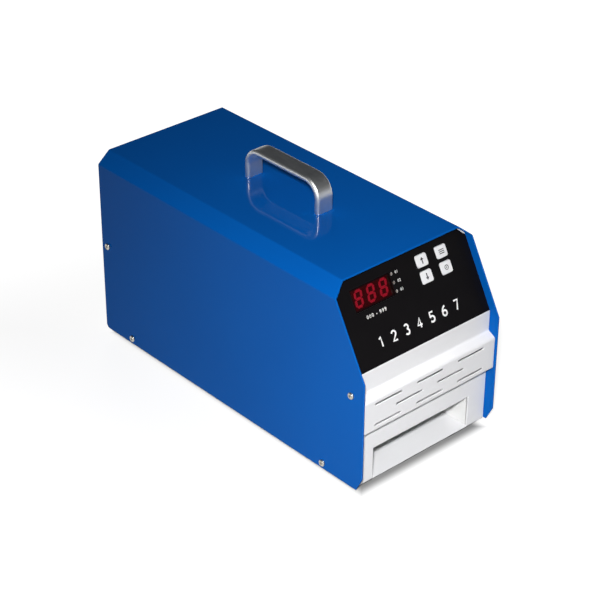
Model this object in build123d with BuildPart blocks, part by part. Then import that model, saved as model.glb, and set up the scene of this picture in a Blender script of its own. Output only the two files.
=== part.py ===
from build123d import *

import os
from math import atan2, cos, degrees, hypot, radians, sin, tan

os.makedirs("parts", exist_ok=True)

# Millimetres. X runs across the machine, +Y from its front to its back, +Z up.
# The origin is on the table, under the middle of the cover.

# Cover: a folded steel hood, open at the front, the back and underneath
body_width = 150.0
body_length = 330.0
cover_height = 173.0
cover_sheet = 1.2
corner_width = 12.0
corner_drop = 10.0
bend_radius = 2.4
slope_run = 39.5
slope_drop = 71.4
toe_height = 13.2
toe_depth = 6.5
heel_radius = 4.0
edge_round = 0.4
fit_gap = 0.2

# How the cover stands over the chassis
foot_height = 4.0
pan_drop = 2.0
pan_sheet = 1.2
pan_flange = 14.0

# Front of the machine
front_recess = 9.4
panel_recess = 8.3
panel_sheet = 1.2
overlay_thickness = 0.5
overlay_corner_inset = 0.9
overlay_margin = 0.9
strip_height = 18.1
shelf_fall = 4.0
hood_setback = 2.0
hood_height = 30.0
front_plate_drop = 12.5
top_flange = 12.0
tab_depth = 14.0
tab_height = 24.0

# Louvre slots in the hood, in staggered rows
slot_length = 29.8
slot_width = 2.1
slot_pitch = 46.0
slot_row_pitch = 9.7
slot_rows = 3
slot_first_drop = 4.6

# Back wall
rear_recess = 4.0
rear_tab_height = 44.0

# Screws. All the small ones are M3.
screw_radius = 1.5
screw_head_radius = 2.95
screw_head_height = 1.9
thread_gap = 0.05
clear_gap = 0.2
side_screw_length = 6.0
upper_screw_height = 86.0
lower_screw_height = 5.5
tab_screw_setback = 4.3
front_lower_inset = 45.1
rear_lower_inset = 38.1
nut_radius = 2.7
nut_thickness = 2.0

# Handle: a bow of flat bar with rounded edges
handle_from_front = 171.3
handle_length = 91.0
handle_rise = 29.0
handle_width = 17.0
handle_bar = 5.5
handle_corner = 17.5
handle_edge = 2.5
handle_screw_depth = 8.0

# Feet
foot_radius = 9.0
foot_bore_depth = 2.2
foot_inset_x = 15.0
foot_inset_y = 27.0

# Controls. Places on the slanted panel are across X and down from its upper edge.
key_width = 11.5
key_height = 10.0
key_radius = 1.5
key_x = 21.8
key_column_gap = 7.8
key_row_gap = 1.0
key_drop = 16.2
key_gap = 0.3
key_proud = 1.0
key_lip = 1.0
key_lip_width = 1.2
key_travel = 0.6
key_stem_radius = 2.0
window_width = 43.2
window_height = 20.0
window_x = -33.9
window_drop = 23.2
window_rim = 2.6
window_sheet = 1.2
window_overlap = 0.5
digit_count = 3
digit_shift = 1.3
digit_module_gap = 0.5
digit_module_width = 12.6
digit_module_height = 19.0
digit_gap = 0.8
digit_height = 14.2
digit_width = 8.4
digit_bar = 2.1
digit_slant = 9.0
segment_gap = 0.25
segment_thickness = 0.2
lamp_gap = 1.5
lamp_drop = 22.9
lamp_pitch = 7.1
lamp_count = 3
lamp_radius = 1.0
lamp_body_radius = 1.3

# Control board behind the panel
standoff_length = 10.0
standoff_radius = 3.0
board_thickness = 1.6
board_inset = 4.0
control_board_width = 124.0
control_board_height = 44.0
control_board_drop = 23.2
board_screw_length = 5.0
switch_size = 6.2
switch_height = 3.5
plunger_radius = 1.72
plunger_gap = 0.08
plunger_bottom_gap = 0.3
plunger_length = 2.8
plunger_proud = 1.0

# Exposure chamber under the lamps
mouth_side = 21.0
mouth_height = 29.0
chamber_length = 110.0
chamber_gap = 1.2
rail_sheet = 1.2
rail_seat_inset = 2.0
back_foot = 11.0
glass_rise = 2.0
glass_thickness = 3.0
glass_side_gap = 0.5
gasket_thickness = 1.5
gasket_width = 7.0
rail_screw_inset = 38.0
rail_screw_length = 3.4

# Lamp unit: two flash tubes in one housing
housing_wall = 1.0
housing_spread = 7.0
post_radius = 3.0
post_inset = 12.0
post_gap = 1.2
post_screw_length = 5.0
reflector_sheet = 0.8
reflector_rise = 2.5
trough_web = 2.0
reflector_side_gap = 1.4
reflector_end_gap = 1.5
tube_radius = 4.0
tube_bore = 3.2
tube_end_gap = 1.0
tube_focus = 12.5
cap_radius = 4.9
cap_cover = 5.0
cap_length = 12.0
cap_pin_radius = 1.0
cap_pin_length = 3.0
electrode_radius = 1.2
electrode_length = 9.0
wall_hole_gap = 0.6
holder_width = 14.0
holder_below = 8.0
holder_above = 12.0
holder_depth = 6.5
holder_screw_rise = 8.6
holder_screw_length = 7.4

# Power board and what stands on it
power_board_width = 112.0
power_board_length = 100.0
power_board_gap = 5.0
capacitor_radius = 15.0
capacitor_height = 45.0
capacitor_pitch = 34.0
capacitor_inset = 20.0
relay_width = 20.0
relay_depth = 16.0
relay_height = 16.0
coil_radius = 8.0
coil_height = 16.0
coil_base = 3.0
heatsink_width = 34.0
heatsink_depth = 18.0
heatsink_height = 26.0
heatsink_base = 4.0
heatsink_fin = 1.5
heatsink_fins = 6
transistor_width = 15.6
transistor_height = 20.0
transistor_depth = 4.6
fuse_radius = 2.6
fuse_length = 20.0
clip_width = 5.0
clip_sheet = 0.6
terminal_width = 38.0
terminal_depth = 9.0
terminal_height = 12.0

# Transformer on the floor of the chassis
core_width = 48.0
core_depth = 26.0
core_height = 40.0
core_limb = 8.0
coil_gap = 0.3
coil_swell = 6.0
strap_sheet = 1.0
strap_foot = 9.0
transformer_gap = 12.0
transformer_x = -30.0

# Fan behind the back wall
fan_size = 60.0
fan_depth = 20.0
fan_corner = 5.0
fan_rim = 1.5
fan_hole_inset = 5.0
fan_x = -32.0
fan_height_from_top = 60.0
hub_radius = 14.0
hub_depth = 12.0
hub_wall = 1.5
stator_gap = 2.0
stator_depth = 8.0
blade_count = 7
blade_thickness = 1.2
blade_pitch = 38.0
blade_tip_gap = 1.0
strut_width = 4.0
strut_depth = 3.5
motor_inset = 1.0
shaft_radius = 1.5
bearing_gap = 0.05
guard_wire = 1.5
guard_leg_wire = 1.8
guard_rings = 4
guard_ring_pitch = 6.5
guard_eye = 3.6
rear_screw_length = 7.0

# Mains inlet and power switch on the back wall
inlet_x = 40.0
inlet_height = 42.0
inlet_flange_width = 50.0
inlet_flange_height = 24.0
inlet_flange = 2.0
inlet_body_width = 28.0
inlet_body_height = 20.0
inlet_body_depth = 22.0
inlet_cavity_width = 24.4
inlet_cavity_height = 16.4
inlet_cavity_depth = 18.0
inlet_screw_pitch = 40.0
inlet_cut_gap = 0.3
blade_pin_width = 4.0
blade_pin_thickness = 2.0
blade_pin_mouth = 5.6
blade_pin_spacing = 7.0
blade_pin_offset = 2.0
blade_pin_tail = 7.0
rocker_above_inlet = 44.0
bezel_width = 17.0
bezel_height = 24.0
bezel_thickness = 1.5
switch_body_width = 14.0
switch_body_height = 20.8
switch_body_depth = 16.0
rocker_well_width = 11.4
rocker_well_height = 18.6
rocker_well_depth = 10.5
rocker_gap = 0.3
rocker_half_height = 8.3
rocker_tilt = 9.0
rocker_face_rise = 2.6
rocker_sink = 3.4
rocker_belly_radius = 5.5
rocker_pin_radius = 1.2
rocker_pin_gap = 0.06
rocker_pin_length = 0.9
tab_terminal_width = 4.8
tab_terminal_sheet = 0.8
tab_terminal_length = 8.0
tab_terminal_pitch = 6.0

# Wiring
ribbon_width = 20.0
ribbon_thickness = 1.0
ribbon_plug_depth = 6.0
ribbon_plug_height = 8.0
ribbon_drop = 12.0
ribbon_lead = 10.0
ribbon_bend = 6.0
lead_radius = 1.3
lead_run = 13.0
lead_bend = 8.0

# Planes and levels that follow from the sizes above
front = -body_length / 2
rear = body_length / 2
pan_bottom = foot_height
floor_top = pan_bottom + pan_sheet
cover_bottom = pan_bottom + pan_drop
cover_top = cover_bottom + cover_height
slope_bottom = cover_top - slope_drop
slope_tilt = degrees(atan2(slope_run, slope_drop))
face_y = front + front_recess
front_plate_back = face_y + pan_sheet
wall_y = rear - rear_recess
wall_inner_y = wall_y - pan_sheet
fan_bore = fan_size - 2 * fan_rim
fan_hole_pitch = fan_size - 2 * fan_hole_inset


def inside_cover(gap):
    """Half width, side corner height, top corner half width and top height inside the cover."""
    inset = cover_sheet + gap
    slant = hypot(corner_drop, corner_width)
    side_corner = cover_top - corner_drop + inset * (corner_drop - slant) / corner_width
    top_corner = body_width / 2 - corner_width + inset * (corner_width - slant) / corner_drop
    return body_width / 2 - inset, side_corner, top_corner, cover_top - inset


inner_half, inner_side, inner_corner, inner_top = inside_cover(fit_gap)
flange_face = inner_half - pan_sheet

panel_bottom = slope_bottom + (front_recess - panel_recess) * slope_drop / slope_run
panel_length = (inner_top - panel_bottom) / cos(radians(slope_tilt))
shelf_top = panel_bottom - strip_height
hood_top = shelf_top - shelf_fall
hood_bottom = hood_top - hood_height
panel = Plane(
    origin=(0, face_y, panel_bottom),
    x_dir=(1, 0, 0),
    z_dir=(0, -cos(radians(slope_tilt)), sin(radians(slope_tilt))),
)

LOW = (Align.CENTER, Align.CENTER, Align.MIN)
HIGH = (Align.CENTER, Align.CENTER, Align.MAX)


def behind_panel(depth):
    """The panel's plane moved into the machine by depth."""
    return panel.offset(-depth)


def trim_to_cover(gap):
    """Cuts the piece in hand to the section inside the cover."""
    half, side_corner, top_corner, top = inside_cover(gap)
    with BuildSketch(Plane.XZ) as section:
        Polygon(
            (-half, -body_length),
            (half, -body_length),
            (half, side_corner),
            (top_corner, top),
            (-top_corner, top),
            (-half, side_corner),
            align=None,
        )
    extrude(section.sketch, amount=body_length, both=True, mode=Mode.INTERSECT)


def drill(planes, radius, reach):
    """Round holes through the piece in hand, reaching both ways from each plane."""
    with Locations(*planes):
        Cylinder(radius, 2 * reach, mode=Mode.SUBTRACT)


def pan_screw(length, shank=screw_radius, head=screw_head_radius, rise=screw_head_height):
    """A cross recessed pan head screw: its head above the origin, its shank below."""
    with BuildPart() as body:
        Cylinder(head, rise, align=LOW)
        fillet(body.edges().group_by(Axis.Z)[-1], rise * 0.5)
        with BuildSketch(Plane.XY.offset(rise)):
            Rectangle(head, head * 0.24)
            Rectangle(head * 0.24, head)
        extrude(amount=-rise * 0.45, mode=Mode.SUBTRACT)
        Cylinder(shank, length, align=HIGH)
    return body.part


def box_between(low, high, mode=Mode.ADD):
    """A box in the piece in hand, given by its lowest and highest corners."""
    size = [h - l for l, h in zip(low, high)]
    middle = [(h + l) / 2 for l, h in zip(low, high)]
    with Locations(tuple(middle)):
        Box(*size, mode=mode)


# Cover
side_screw_places = [
    (face_y + tab_screw_setback, cover_bottom + upper_screw_height),
    (wall_y - tab_screw_setback, cover_bottom + upper_screw_height),
    (front + front_lower_inset, cover_bottom + lower_screw_height),
    (rear - rear_lower_inset, cover_bottom + lower_screw_height),
]
side_screw_planes = [
    Plane(origin=(side * body_width / 2, y, z), x_dir=(0, 1, 0), z_dir=(side, 0, 0))
    for side in (1, -1)
    for y, z in side_screw_places
]
handle_y = front + handle_from_front
handle_leg_y = handle_length / 2 - handle_bar / 2
handle_leg_places = [(0, handle_y - handle_leg_y), (0, handle_y + handle_leg_y)]

with BuildPart() as cover:
    with BuildSketch(Plane.XZ):
        with BuildLine():
            FilletPolyline(
                (-body_width / 2, cover_bottom),
                (-body_width / 2, cover_top - corner_drop),
                (-body_width / 2 + corner_width, cover_top),
                (body_width / 2 - corner_width, cover_top),
                (body_width / 2, cover_top - corner_drop),
                (body_width / 2, cover_bottom),
                radius=bend_radius,
            )
            offset(amount=cover_sheet, side=Side.RIGHT, closed=True)
        make_face()
    extrude(amount=body_length / 2, both=True)
    with BuildSketch(Plane.YZ) as side_outline:
        with BuildLine():
            Polyline(
                (front + toe_depth, cover_bottom),
                (front, cover_bottom + toe_height),
                (front, slope_bottom),
                (front + slope_run, cover_top),
                (rear, cover_top),
                (rear, cover_bottom),
                close=True,
            )
        make_face()
        fillet(side_outline.vertices().sort_by(Axis.X)[-2:].sort_by(Axis.Y)[0], heel_radius)
    extrude(amount=body_width, both=True, mode=Mode.INTERSECT)
    top_front = cover.edges().filter_by(Axis.X).group_by(Axis.Z)[-1].sort_by(Axis.Y)[0]
    fillet(top_front, edge_round)
    drill(side_screw_planes, screw_radius + clear_gap, 2 * cover_sheet)
    drill(
        [Plane(origin=(x, y, cover_top)) for x, y in handle_leg_places],
        screw_radius + clear_gap,
        2 * cover_sheet,
    )
cover.part.label = "cover"
export_step(cover.part, "parts/cover.step")

# Chassis: one sheet folded up into the lower front plate and the back wall
mouth_half = body_width / 2 - mouth_side
mouth_top = cover_bottom + mouth_height
chamber_front = front_plate_back + chamber_gap
chamber_back_y = chamber_front + chamber_length
glass_bottom = mouth_top + glass_rise
glass_top = glass_bottom + glass_thickness
housing_bottom = glass_top + gasket_thickness
housing_half = mouth_half + housing_spread
post_x = flange_face - post_gap - post_radius
rail_foot = post_x - post_radius - clear_gap - mouth_half
rail_seat = rail_foot - rail_seat_inset
post_places = [
    (side * post_x, y)
    for side in (-1, 1)
    for y in (chamber_front + post_inset, chamber_back_y - post_inset)
]
foot_places = [
    (side * (body_width / 2 - foot_inset_x), y)
    for side in (-1, 1)
    for y in (front + foot_inset_y, rear - foot_inset_y)
]
rail_screw_x = mouth_half + rail_foot * 0.55
rail_screw_places = [
    (side * rail_screw_x, y)
    for side in (-1, 1)
    for y in (chamber_front + rail_screw_inset, chamber_back_y - rail_screw_inset)
]
back_screw_places = [
    (side * mouth_half * 0.6, chamber_back_y + back_foot * 0.55) for side in (-1, 1)
]
power_board_front = chamber_back_y + back_foot + power_board_gap
power_board_y = power_board_front + power_board_length / 2
board_post_places = [
    (sx * (power_board_width / 2 - board_inset), power_board_y + sy * (power_board_length / 2 - board_inset))
    for sx in (-1, 1)
    for sy in (-1, 1)
]
core_y = power_board_front + power_board_length + transformer_gap + core_depth / 2
strap_screw_places = [
    (transformer_x + side * (core_width / 2 + strap_sheet + strap_foot / 2), core_y) for side in (-1, 1)
]
fan_z = cover_top - fan_height_from_top
fan_screw_places = [
    (fan_x + sx * fan_hole_pitch / 2, fan_z + sz * fan_hole_pitch / 2) for sx in (-1, 1) for sz in (-1, 1)
]
inlet_z = pan_bottom + inlet_height
rocker_z = inlet_z + rocker_above_inlet
inlet_screw_places = [(inlet_x + side * inlet_screw_pitch / 2, inlet_z) for side in (-1, 1)]


def on_wall(places, y=wall_y):
    """Planes on the back wall, facing out of the back."""
    return [Plane(origin=(x, y, z), x_dir=(-1, 0, 0), z_dir=(0, 1, 0)) for x, z in places]


def on_floor(places, z=floor_top):
    """Planes lying on the chassis floor, facing up."""
    return [Plane(origin=(x, y, z)) for x, y in places]


with BuildPart() as chassis:
    with BuildSketch(Plane.YZ):
        with BuildLine():
            FilletPolyline(
                (face_y, hood_top - front_plate_drop),
                (face_y, pan_bottom),
                (wall_y, pan_bottom),
                (wall_y, cover_top),
                radius=bend_radius,
            )
            offset(amount=pan_sheet, side=Side.LEFT, closed=True)
        make_face()
    extrude(amount=body_width / 2, both=True)
    for side in (-1, 1):
        outer, inner = side * inner_half, side * flange_face
        box_between(
            (min(outer, inner), face_y + bend_radius, pan_bottom),
            (max(outer, inner), wall_y - bend_radius, pan_bottom + pan_flange),
        )
        box_between(
            (
                min(outer, inner),
                wall_inner_y - tab_depth,
                cover_bottom + upper_screw_height - rear_tab_height / 2,
            ),
            (
                max(outer, inner),
                wall_inner_y,
                cover_bottom + upper_screw_height + rear_tab_height / 2,
            ),
        )
    trim_to_cover(fit_gap)
    box_between(
        (-mouth_half, face_y - pan_sheet, floor_top),
        (mouth_half, face_y + bend_radius, mouth_top),
        mode=Mode.SUBTRACT,
    )
    drill(side_screw_planes, screw_radius + clear_gap, body_width / 2 - flange_face + pan_sheet)
    drill(
        on_floor(foot_places + rail_screw_places + back_screw_places + strap_screw_places),
        screw_radius + thread_gap,
        2 * pan_sheet,
    )
    drill(on_wall(fan_screw_places + inlet_screw_places), screw_radius + clear_gap, 2 * pan_sheet)
    drill(on_wall([(fan_x, fan_z)]), fan_bore / 2, 2 * pan_sheet)
    with BuildSketch(on_wall([(inlet_x, inlet_z)])[0]):
        Rectangle(inlet_body_width + 2 * inlet_cut_gap, inlet_body_height + 2 * inlet_cut_gap)
    extrude(amount=2 * pan_sheet, both=True, mode=Mode.SUBTRACT)
    with BuildSketch(on_wall([(inlet_x, rocker_z)])[0]):
        Rectangle(switch_body_width + 2 * inlet_cut_gap, switch_body_height + 2 * inlet_cut_gap)
    extrude(amount=2 * pan_sheet, both=True, mode=Mode.SUBTRACT)
chassis.part.label = "chassis"
export_step(chassis.part, "parts/chassis.step")

# Controls' places, in the panel's own plane
key_top_y = panel_length - key_drop
key_pitch_x = key_width + 2 * key_lip_width + key_column_gap
key_pitch_y = key_height + 2 * key_lip_width + key_row_gap
lamp_x = window_x + window_width / 2 + lamp_gap
key_places = {
    "key_up": (key_x, key_top_y),
    "key_down": (key_x, key_top_y - key_pitch_y),
    "key_mode": (key_x + key_pitch_x, key_top_y),
    "key_confirm": (key_x + key_pitch_x, key_top_y - key_pitch_y),
}
window_y = panel_length - window_drop
lamp_places = [
    (lamp_x, panel_length - lamp_drop + (i - (lamp_count - 1) / 2) * lamp_pitch) for i in range(lamp_count)
]
board_y = panel_length - control_board_drop
standoff_x = control_board_width / 2 - board_inset
standoff_y = control_board_height / 2 - board_inset
panel_post_places = [(sx * standoff_x, board_y + sy * standoff_y) for sx in (-1, 1) for sy in (-1, 1)]


def control_openings(plane, depth, window_margin):
    """Cuts the openings for keys, window and lamps through the piece in hand."""
    with BuildSketch(plane) as openings:
        with Locations(*key_places.values()):
            RectangleRounded(key_width + 2 * key_gap, key_height + 2 * key_gap, key_radius + key_gap)
        with Locations((window_x, window_y)):
            Rectangle(window_width + 2 * window_margin, window_height + 2 * window_margin)
        with Locations(*lamp_places):
            Circle(lamp_radius + key_gap)
    extrude(openings.sketch, amount=depth, both=True, mode=Mode.SUBTRACT)


# Front panel: slanted plate, strip, shelf and louvred hood in one folded sheet
hood_y = front + hood_setback
panel_top_y = face_y + panel_length * sin(radians(slope_tilt))
slot_places = []
for row in range(slot_rows):
    row_z = hood_top - slot_first_drop - row * slot_row_pitch
    columns = (-1, 0, 1) if row % 2 == 0 else (-0.5, 0.5)
    slot_places += [(column * slot_pitch, row_z) for column in columns]

with BuildPart() as front_panel:
    with BuildSketch(Plane.YZ):
        with BuildLine():
            FilletPolyline(
                (panel_top_y + top_flange, inner_top),
                (panel_top_y, inner_top),
                (face_y, panel_bottom),
                (face_y, shelf_top),
                (hood_y, hood_top),
                (hood_y, hood_bottom),
                (face_y, hood_bottom),
                radius=bend_radius,
            )
            offset(amount=panel_sheet, side=Side.LEFT, closed=True)
        make_face()
    extrude(amount=body_width / 2, both=True)
    for side in (-1, 1):
        outer, inner = side * inner_half, side * flange_face
        box_between(
            (min(outer, inner), face_y + panel_sheet / 2, cover_bottom + upper_screw_height - tab_height / 2),
            (max(outer, inner), face_y + tab_depth, cover_bottom + upper_screw_height + tab_height / 2),
        )
    trim_to_cover(fit_gap)
    with BuildSketch(Plane.XZ.offset(-hood_y)):
        with Locations(*slot_places):
            SlotOverall(slot_length, slot_width)
    extrude(amount=2 * panel_sheet, both=True, mode=Mode.SUBTRACT)
    control_openings(panel, 2 * panel_sheet, key_gap)
    drill(side_screw_planes, screw_radius + clear_gap, body_width / 2 - flange_face + pan_sheet)
front_panel.part.label = "front_panel"
export_step(front_panel.part, "parts/front_panel.step")

# Printed film over the slanted plate
with BuildPart() as panel_overlay:
    half, side_corner, top_corner, top = inside_cover(fit_gap + overlay_corner_inset)
    overlay_top = panel_length - bend_radius
    with BuildSketch(panel):
        with Locations((0, (overlay_margin + overlay_top) / 2)):
            Rectangle(2 * (inner_half - fit_gap), overlay_top - overlay_margin)
    extrude(amount=overlay_thickness)
    with BuildSketch(Plane.XZ):
        Polygon(
            (-body_width, -body_length),
            (body_width, -body_length),
            (body_width, side_corner - (body_width - half) * corner_drop / corner_width),
            (top_corner, top),
            (-top_corner, top),
            (-body_width, side_corner - (body_width - half) * corner_drop / corner_width),
            align=None,
        )
    extrude(amount=body_length, both=True, mode=Mode.INTERSECT)
    control_openings(panel, 2 * panel_sheet, -window_overlap)
panel_overlay.part.label = "panel_overlay"
export_step(panel_overlay.part, "parts/panel_overlay.step")

# Red window, its raised face under the film's edge and its rim behind the sheet
with BuildPart() as display_window:
    with BuildSketch(behind_panel(panel_sheet)):
        with Locations((window_x, window_y)):
            Rectangle(window_width, window_height + 2 * window_rim)
    extrude(amount=-window_sheet)
    with BuildSketch(behind_panel(panel_sheet)):
        with Locations((window_x, window_y)):
            Rectangle(window_width, window_height)
    extrude(amount=panel_sheet)
display_window.part.label = "display_window"
export_step(display_window.part, "parts/display_window.step")

# Keys: a cap with a lip behind the sheet and a stem down into its switch
board_front = panel_sheet + standoff_length
board_back = board_front + board_thickness
stem_end = board_front - switch_height - plunger_proud
for name, place in key_places.items():
    with BuildPart() as key:
        with BuildSketch(behind_panel(panel_sheet)):
            with Locations(place):
                RectangleRounded(key_width, key_height, key_radius)
        extrude(amount=panel_sheet + overlay_thickness + key_proud)
        fillet(key.faces().sort_by(Axis(panel.origin, panel.z_dir))[-1].edges(), edge_round)
        with BuildSketch(behind_panel(panel_sheet)):
            with Locations(place):
                RectangleRounded(
                    key_width + 2 * key_lip_width,
                    key_height + 2 * key_lip_width,
                    key_radius + key_lip_width,
                )
        extrude(amount=-key_lip)
        with BuildSketch(behind_panel(panel_sheet + key_lip)):
            with Locations(place):
                Circle(key_stem_radius)
        extrude(amount=-(stem_end - panel_sheet - key_lip))
        with BuildSketch(behind_panel(stem_end)):
            with Locations(place):
                Circle(plunger_radius)
        extrude(amount=-plunger_length)
    key.part.label = name
    export_step(key.part, f"parts/{name}.step")

with BuildPart() as key_switches:
    with BuildSketch(behind_panel(board_front)):
        with Locations(*key_places.values()):
            Rectangle(switch_size, switch_size)
    extrude(amount=switch_height)
    with BuildSketch(behind_panel(board_front - switch_height)):
        with Locations(*key_places.values()):
            Circle(plunger_radius + plunger_gap)
    extrude(
        amount=-(plunger_length - plunger_proud + key_travel + plunger_bottom_gap),
        mode=Mode.SUBTRACT,
    )
key_switches.part.label = "key_switches"
export_step(key_switches.part, "parts/key_switches.step")

# Digit modules and their lit segments
digit_pitch = digit_module_width + digit_module_gap
digit_places = [
    (window_x + digit_shift + (i - (digit_count - 1) / 2) * digit_pitch, window_y) for i in range(digit_count)
]
digit_module_depth = standoff_length - window_sheet - digit_gap
digit_face = board_front - digit_module_depth
with BuildPart() as led_digits:
    with BuildSketch(behind_panel(board_front)):
        with Locations(*digit_places):
            Rectangle(digit_module_width, digit_module_height)
    extrude(amount=digit_module_depth)
led_digits.part.label = "led_digits"
export_step(led_digits.part, "parts/led_digits.step")


def segment_outlines(centre):
    """The seven bars of one slanted digit, as lists of points."""
    across = digit_width / 2 - digit_bar / 2
    up = digit_height / 2 - digit_bar / 2
    half = digit_bar / 2
    gap = segment_gap
    bars = []
    for level in (-up, 0, up):
        bars.append(
            [
                (-across + gap, level),
                (-across + half + gap, level + half),
                (across - half - gap, level + half),
                (across - gap, level),
                (across - half - gap, level - half),
                (-across + half + gap, level - half),
            ]
        )
    for side in (-across, across):
        for low, high in ((-up, 0), (0, up)):
            bars.append(
                [
                    (side, low + gap),
                    (side + half, low + half + gap),
                    (side + half, high - half - gap),
                    (side, high - gap),
                    (side - half, high - half - gap),
                    (side - half, low + half + gap),
                ]
            )
    lean = tan(radians(digit_slant))
    return [[(centre[0] + x + y * lean, centre[1] + y) for x, y in bar] for bar in bars]


with BuildPart() as digit_segments:
    with BuildSketch(behind_panel(digit_face)):
        for centre in digit_places:
            for bar in segment_outlines(centre):
                Polygon(*bar, align=None)
    extrude(amount=segment_thickness)
digit_segments.part.label = "digit_segments"
export_step(digit_segments.part, "parts/digit_segments.step")

# Indicator lamps, standing on the board with their tips in the film
with BuildPart() as indicator_lamps:
    with BuildSketch(behind_panel(board_front)):
        with Locations(*lamp_places):
            Circle(lamp_body_radius)
    extrude(amount=standoff_length - key_gap)
    with BuildSketch(behind_panel(board_front)):
        with Locations(*lamp_places):
            Circle(lamp_radius)
    extrude(amount=board_front + overlay_thickness)
    tips = indicator_lamps.faces().group_by(Axis(panel.origin, panel.z_dir))[-1]
    fillet(tips.edges(), lamp_radius * 0.6)
indicator_lamps.part.label = "indicator_lamps"
export_step(indicator_lamps.part, "parts/indicator_lamps.step")

# Control board
with BuildPart() as control_board:
    with BuildSketch(behind_panel(board_front)):
        with Locations((0, board_y)):
            Rectangle(control_board_width, control_board_height)
        with Locations(*panel_post_places):
            Circle(screw_radius + clear_gap, mode=Mode.SUBTRACT)
    extrude(amount=-board_thickness)
control_board.part.label = "control_board"
export_step(control_board.part, "parts/control_board.step")

# Standoffs of both boards
with BuildPart() as board_standoffs:
    with BuildSketch(behind_panel(panel_sheet)):
        with Locations(*panel_post_places):
            RegularPolygon(standoff_radius, 6)
            Circle(screw_radius + thread_gap, mode=Mode.SUBTRACT)
    extrude(amount=-standoff_length)
    with BuildSketch(Plane.XY.offset(floor_top)):
        with Locations(*board_post_places):
            RegularPolygon(standoff_radius, 6)
            Circle(screw_radius + thread_gap, mode=Mode.SUBTRACT)
    extrude(amount=standoff_length)
board_standoffs.part.label = "board_standoffs"
export_step(board_standoffs.part, "parts/board_standoffs.step")

power_board_bottom = floor_top + standoff_length
power_board_top = power_board_bottom + board_thickness
panel_screw_planes = [
    Plane(origin=behind_panel(board_back).from_local_coords((x, y, 0)), x_dir=(1, 0, 0), z_dir=-panel.z_dir)
    for x, y in panel_post_places
]
board_screw = pan_screw(board_screw_length)
with BuildPart() as board_screws:
    with Locations(*panel_screw_planes, *on_floor(board_post_places, power_board_top)):
        add(board_screw)
board_screws.part.label = "board_screws"
export_step(board_screws.part, "parts/board_screws.step")

# Side screws, and the clinch nuts that they and the inlet's screws turn into
side_screw = pan_screw(side_screw_length)
with BuildPart() as side_screws:
    with Locations(*side_screw_planes):
        add(side_screw)
side_screws.part.label = "side_screws"
export_step(side_screws.part, "parts/side_screws.step")

nut_planes = [plane.offset(flange_face - body_width / 2) for plane in side_screw_planes]
nut_planes += on_wall(inlet_screw_places, wall_inner_y)
with BuildPart() as clinch_nuts:
    for plane in nut_planes:
        with BuildSketch(plane):
            Circle(nut_radius)
            Circle(screw_radius + thread_gap, mode=Mode.SUBTRACT)
        extrude(amount=-nut_thickness)
clinch_nuts.part.label = "clinch_nuts"
export_step(clinch_nuts.part, "parts/clinch_nuts.step")

# Handle
with BuildPart() as handle:
    with BuildSketch(Plane.YZ):
        with BuildLine():
            FilletPolyline(
                (handle_y - handle_length / 2, cover_top),
                (handle_y - handle_length / 2, cover_top + handle_rise),
                (handle_y + handle_length / 2, cover_top + handle_rise),
                (handle_y + handle_length / 2, cover_top),
                radius=handle_corner,
            )
            offset(amount=handle_bar, side=Side.RIGHT, closed=True)
        make_face()
    extrude(amount=handle_width / 2, both=True)
    long_edges = [
        edge
        for face in (handle.faces().sort_by(Axis.X)[0], handle.faces().sort_by(Axis.X)[-1])
        for edge in face.edges()
        if edge.center().Z > cover_top + edge_round
    ]
    fillet(long_edges, handle_edge)
    with Locations(*[Plane(origin=(x, y, cover_top)) for x, y in handle_leg_places]):
        Cylinder(screw_radius + thread_gap, handle_screw_depth, align=LOW, mode=Mode.SUBTRACT)
handle.part.label = "handle"
export_step(handle.part, "parts/handle.step")

handle_screw = pan_screw(cover_sheet + handle_screw_depth - nut_thickness)
with BuildPart() as handle_screws:
    with Locations(
        *[
            Plane(origin=(x, y, cover_top - cover_sheet), x_dir=(1, 0, 0), z_dir=(0, 0, -1))
            for x, y in handle_leg_places
        ]
    ):
        add(handle_screw)
handle_screws.part.label = "handle_screws"
export_step(handle_screws.part, "parts/handle_screws.step")

# Feet, screwed up into the floor
with BuildPart() as feet:
    with Locations(*on_floor(foot_places, 0)):
        Cylinder(foot_radius, foot_height, align=LOW)
    chamfer(feet.edges().group_by(Axis.Z)[0], edge_round * 2)
    with Locations(*on_floor(foot_places, 0)):
        Cylinder(screw_head_radius + clear_gap, foot_bore_depth, align=LOW, mode=Mode.SUBTRACT)
        Cylinder(screw_radius + clear_gap, foot_height, align=LOW, mode=Mode.SUBTRACT)
feet.part.label = "feet"
export_step(feet.part, "parts/feet.step")

foot_screw = pan_screw(floor_top - foot_bore_depth)
with BuildPart() as foot_screws:
    with Locations(
        *[Plane(origin=(x, y, foot_bore_depth), x_dir=(1, 0, 0), z_dir=(0, 0, -1)) for x, y in foot_places]
    ):
        add(foot_screw)
foot_screws.part.label = "foot_screws"
export_step(foot_screws.part, "parts/foot_screws.step")

# Chamber rails: each wall of the chamber, folded out into a foot and a seat for the glass
for name, side in (("chamber_rail_left", -1), ("chamber_rail_right", 1)):
    with BuildPart() as rail:
        with BuildSketch(Plane.XZ.offset(-chamber_front)):
            with BuildLine():
                FilletPolyline(
                    (side * (mouth_half + rail_foot), floor_top),
                    (side * mouth_half, floor_top),
                    (side * mouth_half, glass_bottom),
                    (side * (mouth_half + rail_seat), glass_bottom),
                    radius=rail_sheet + edge_round,
                )
                offset(amount=rail_sheet, side=Side.RIGHT if side > 0 else Side.LEFT, closed=True)
            make_face()
        extrude(amount=-chamber_length)
        drill(on_floor(rail_screw_places), screw_radius + clear_gap, 2 * rail_sheet)
    rail.part.label = name
    export_step(rail.part, f"parts/{name}.step")

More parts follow.
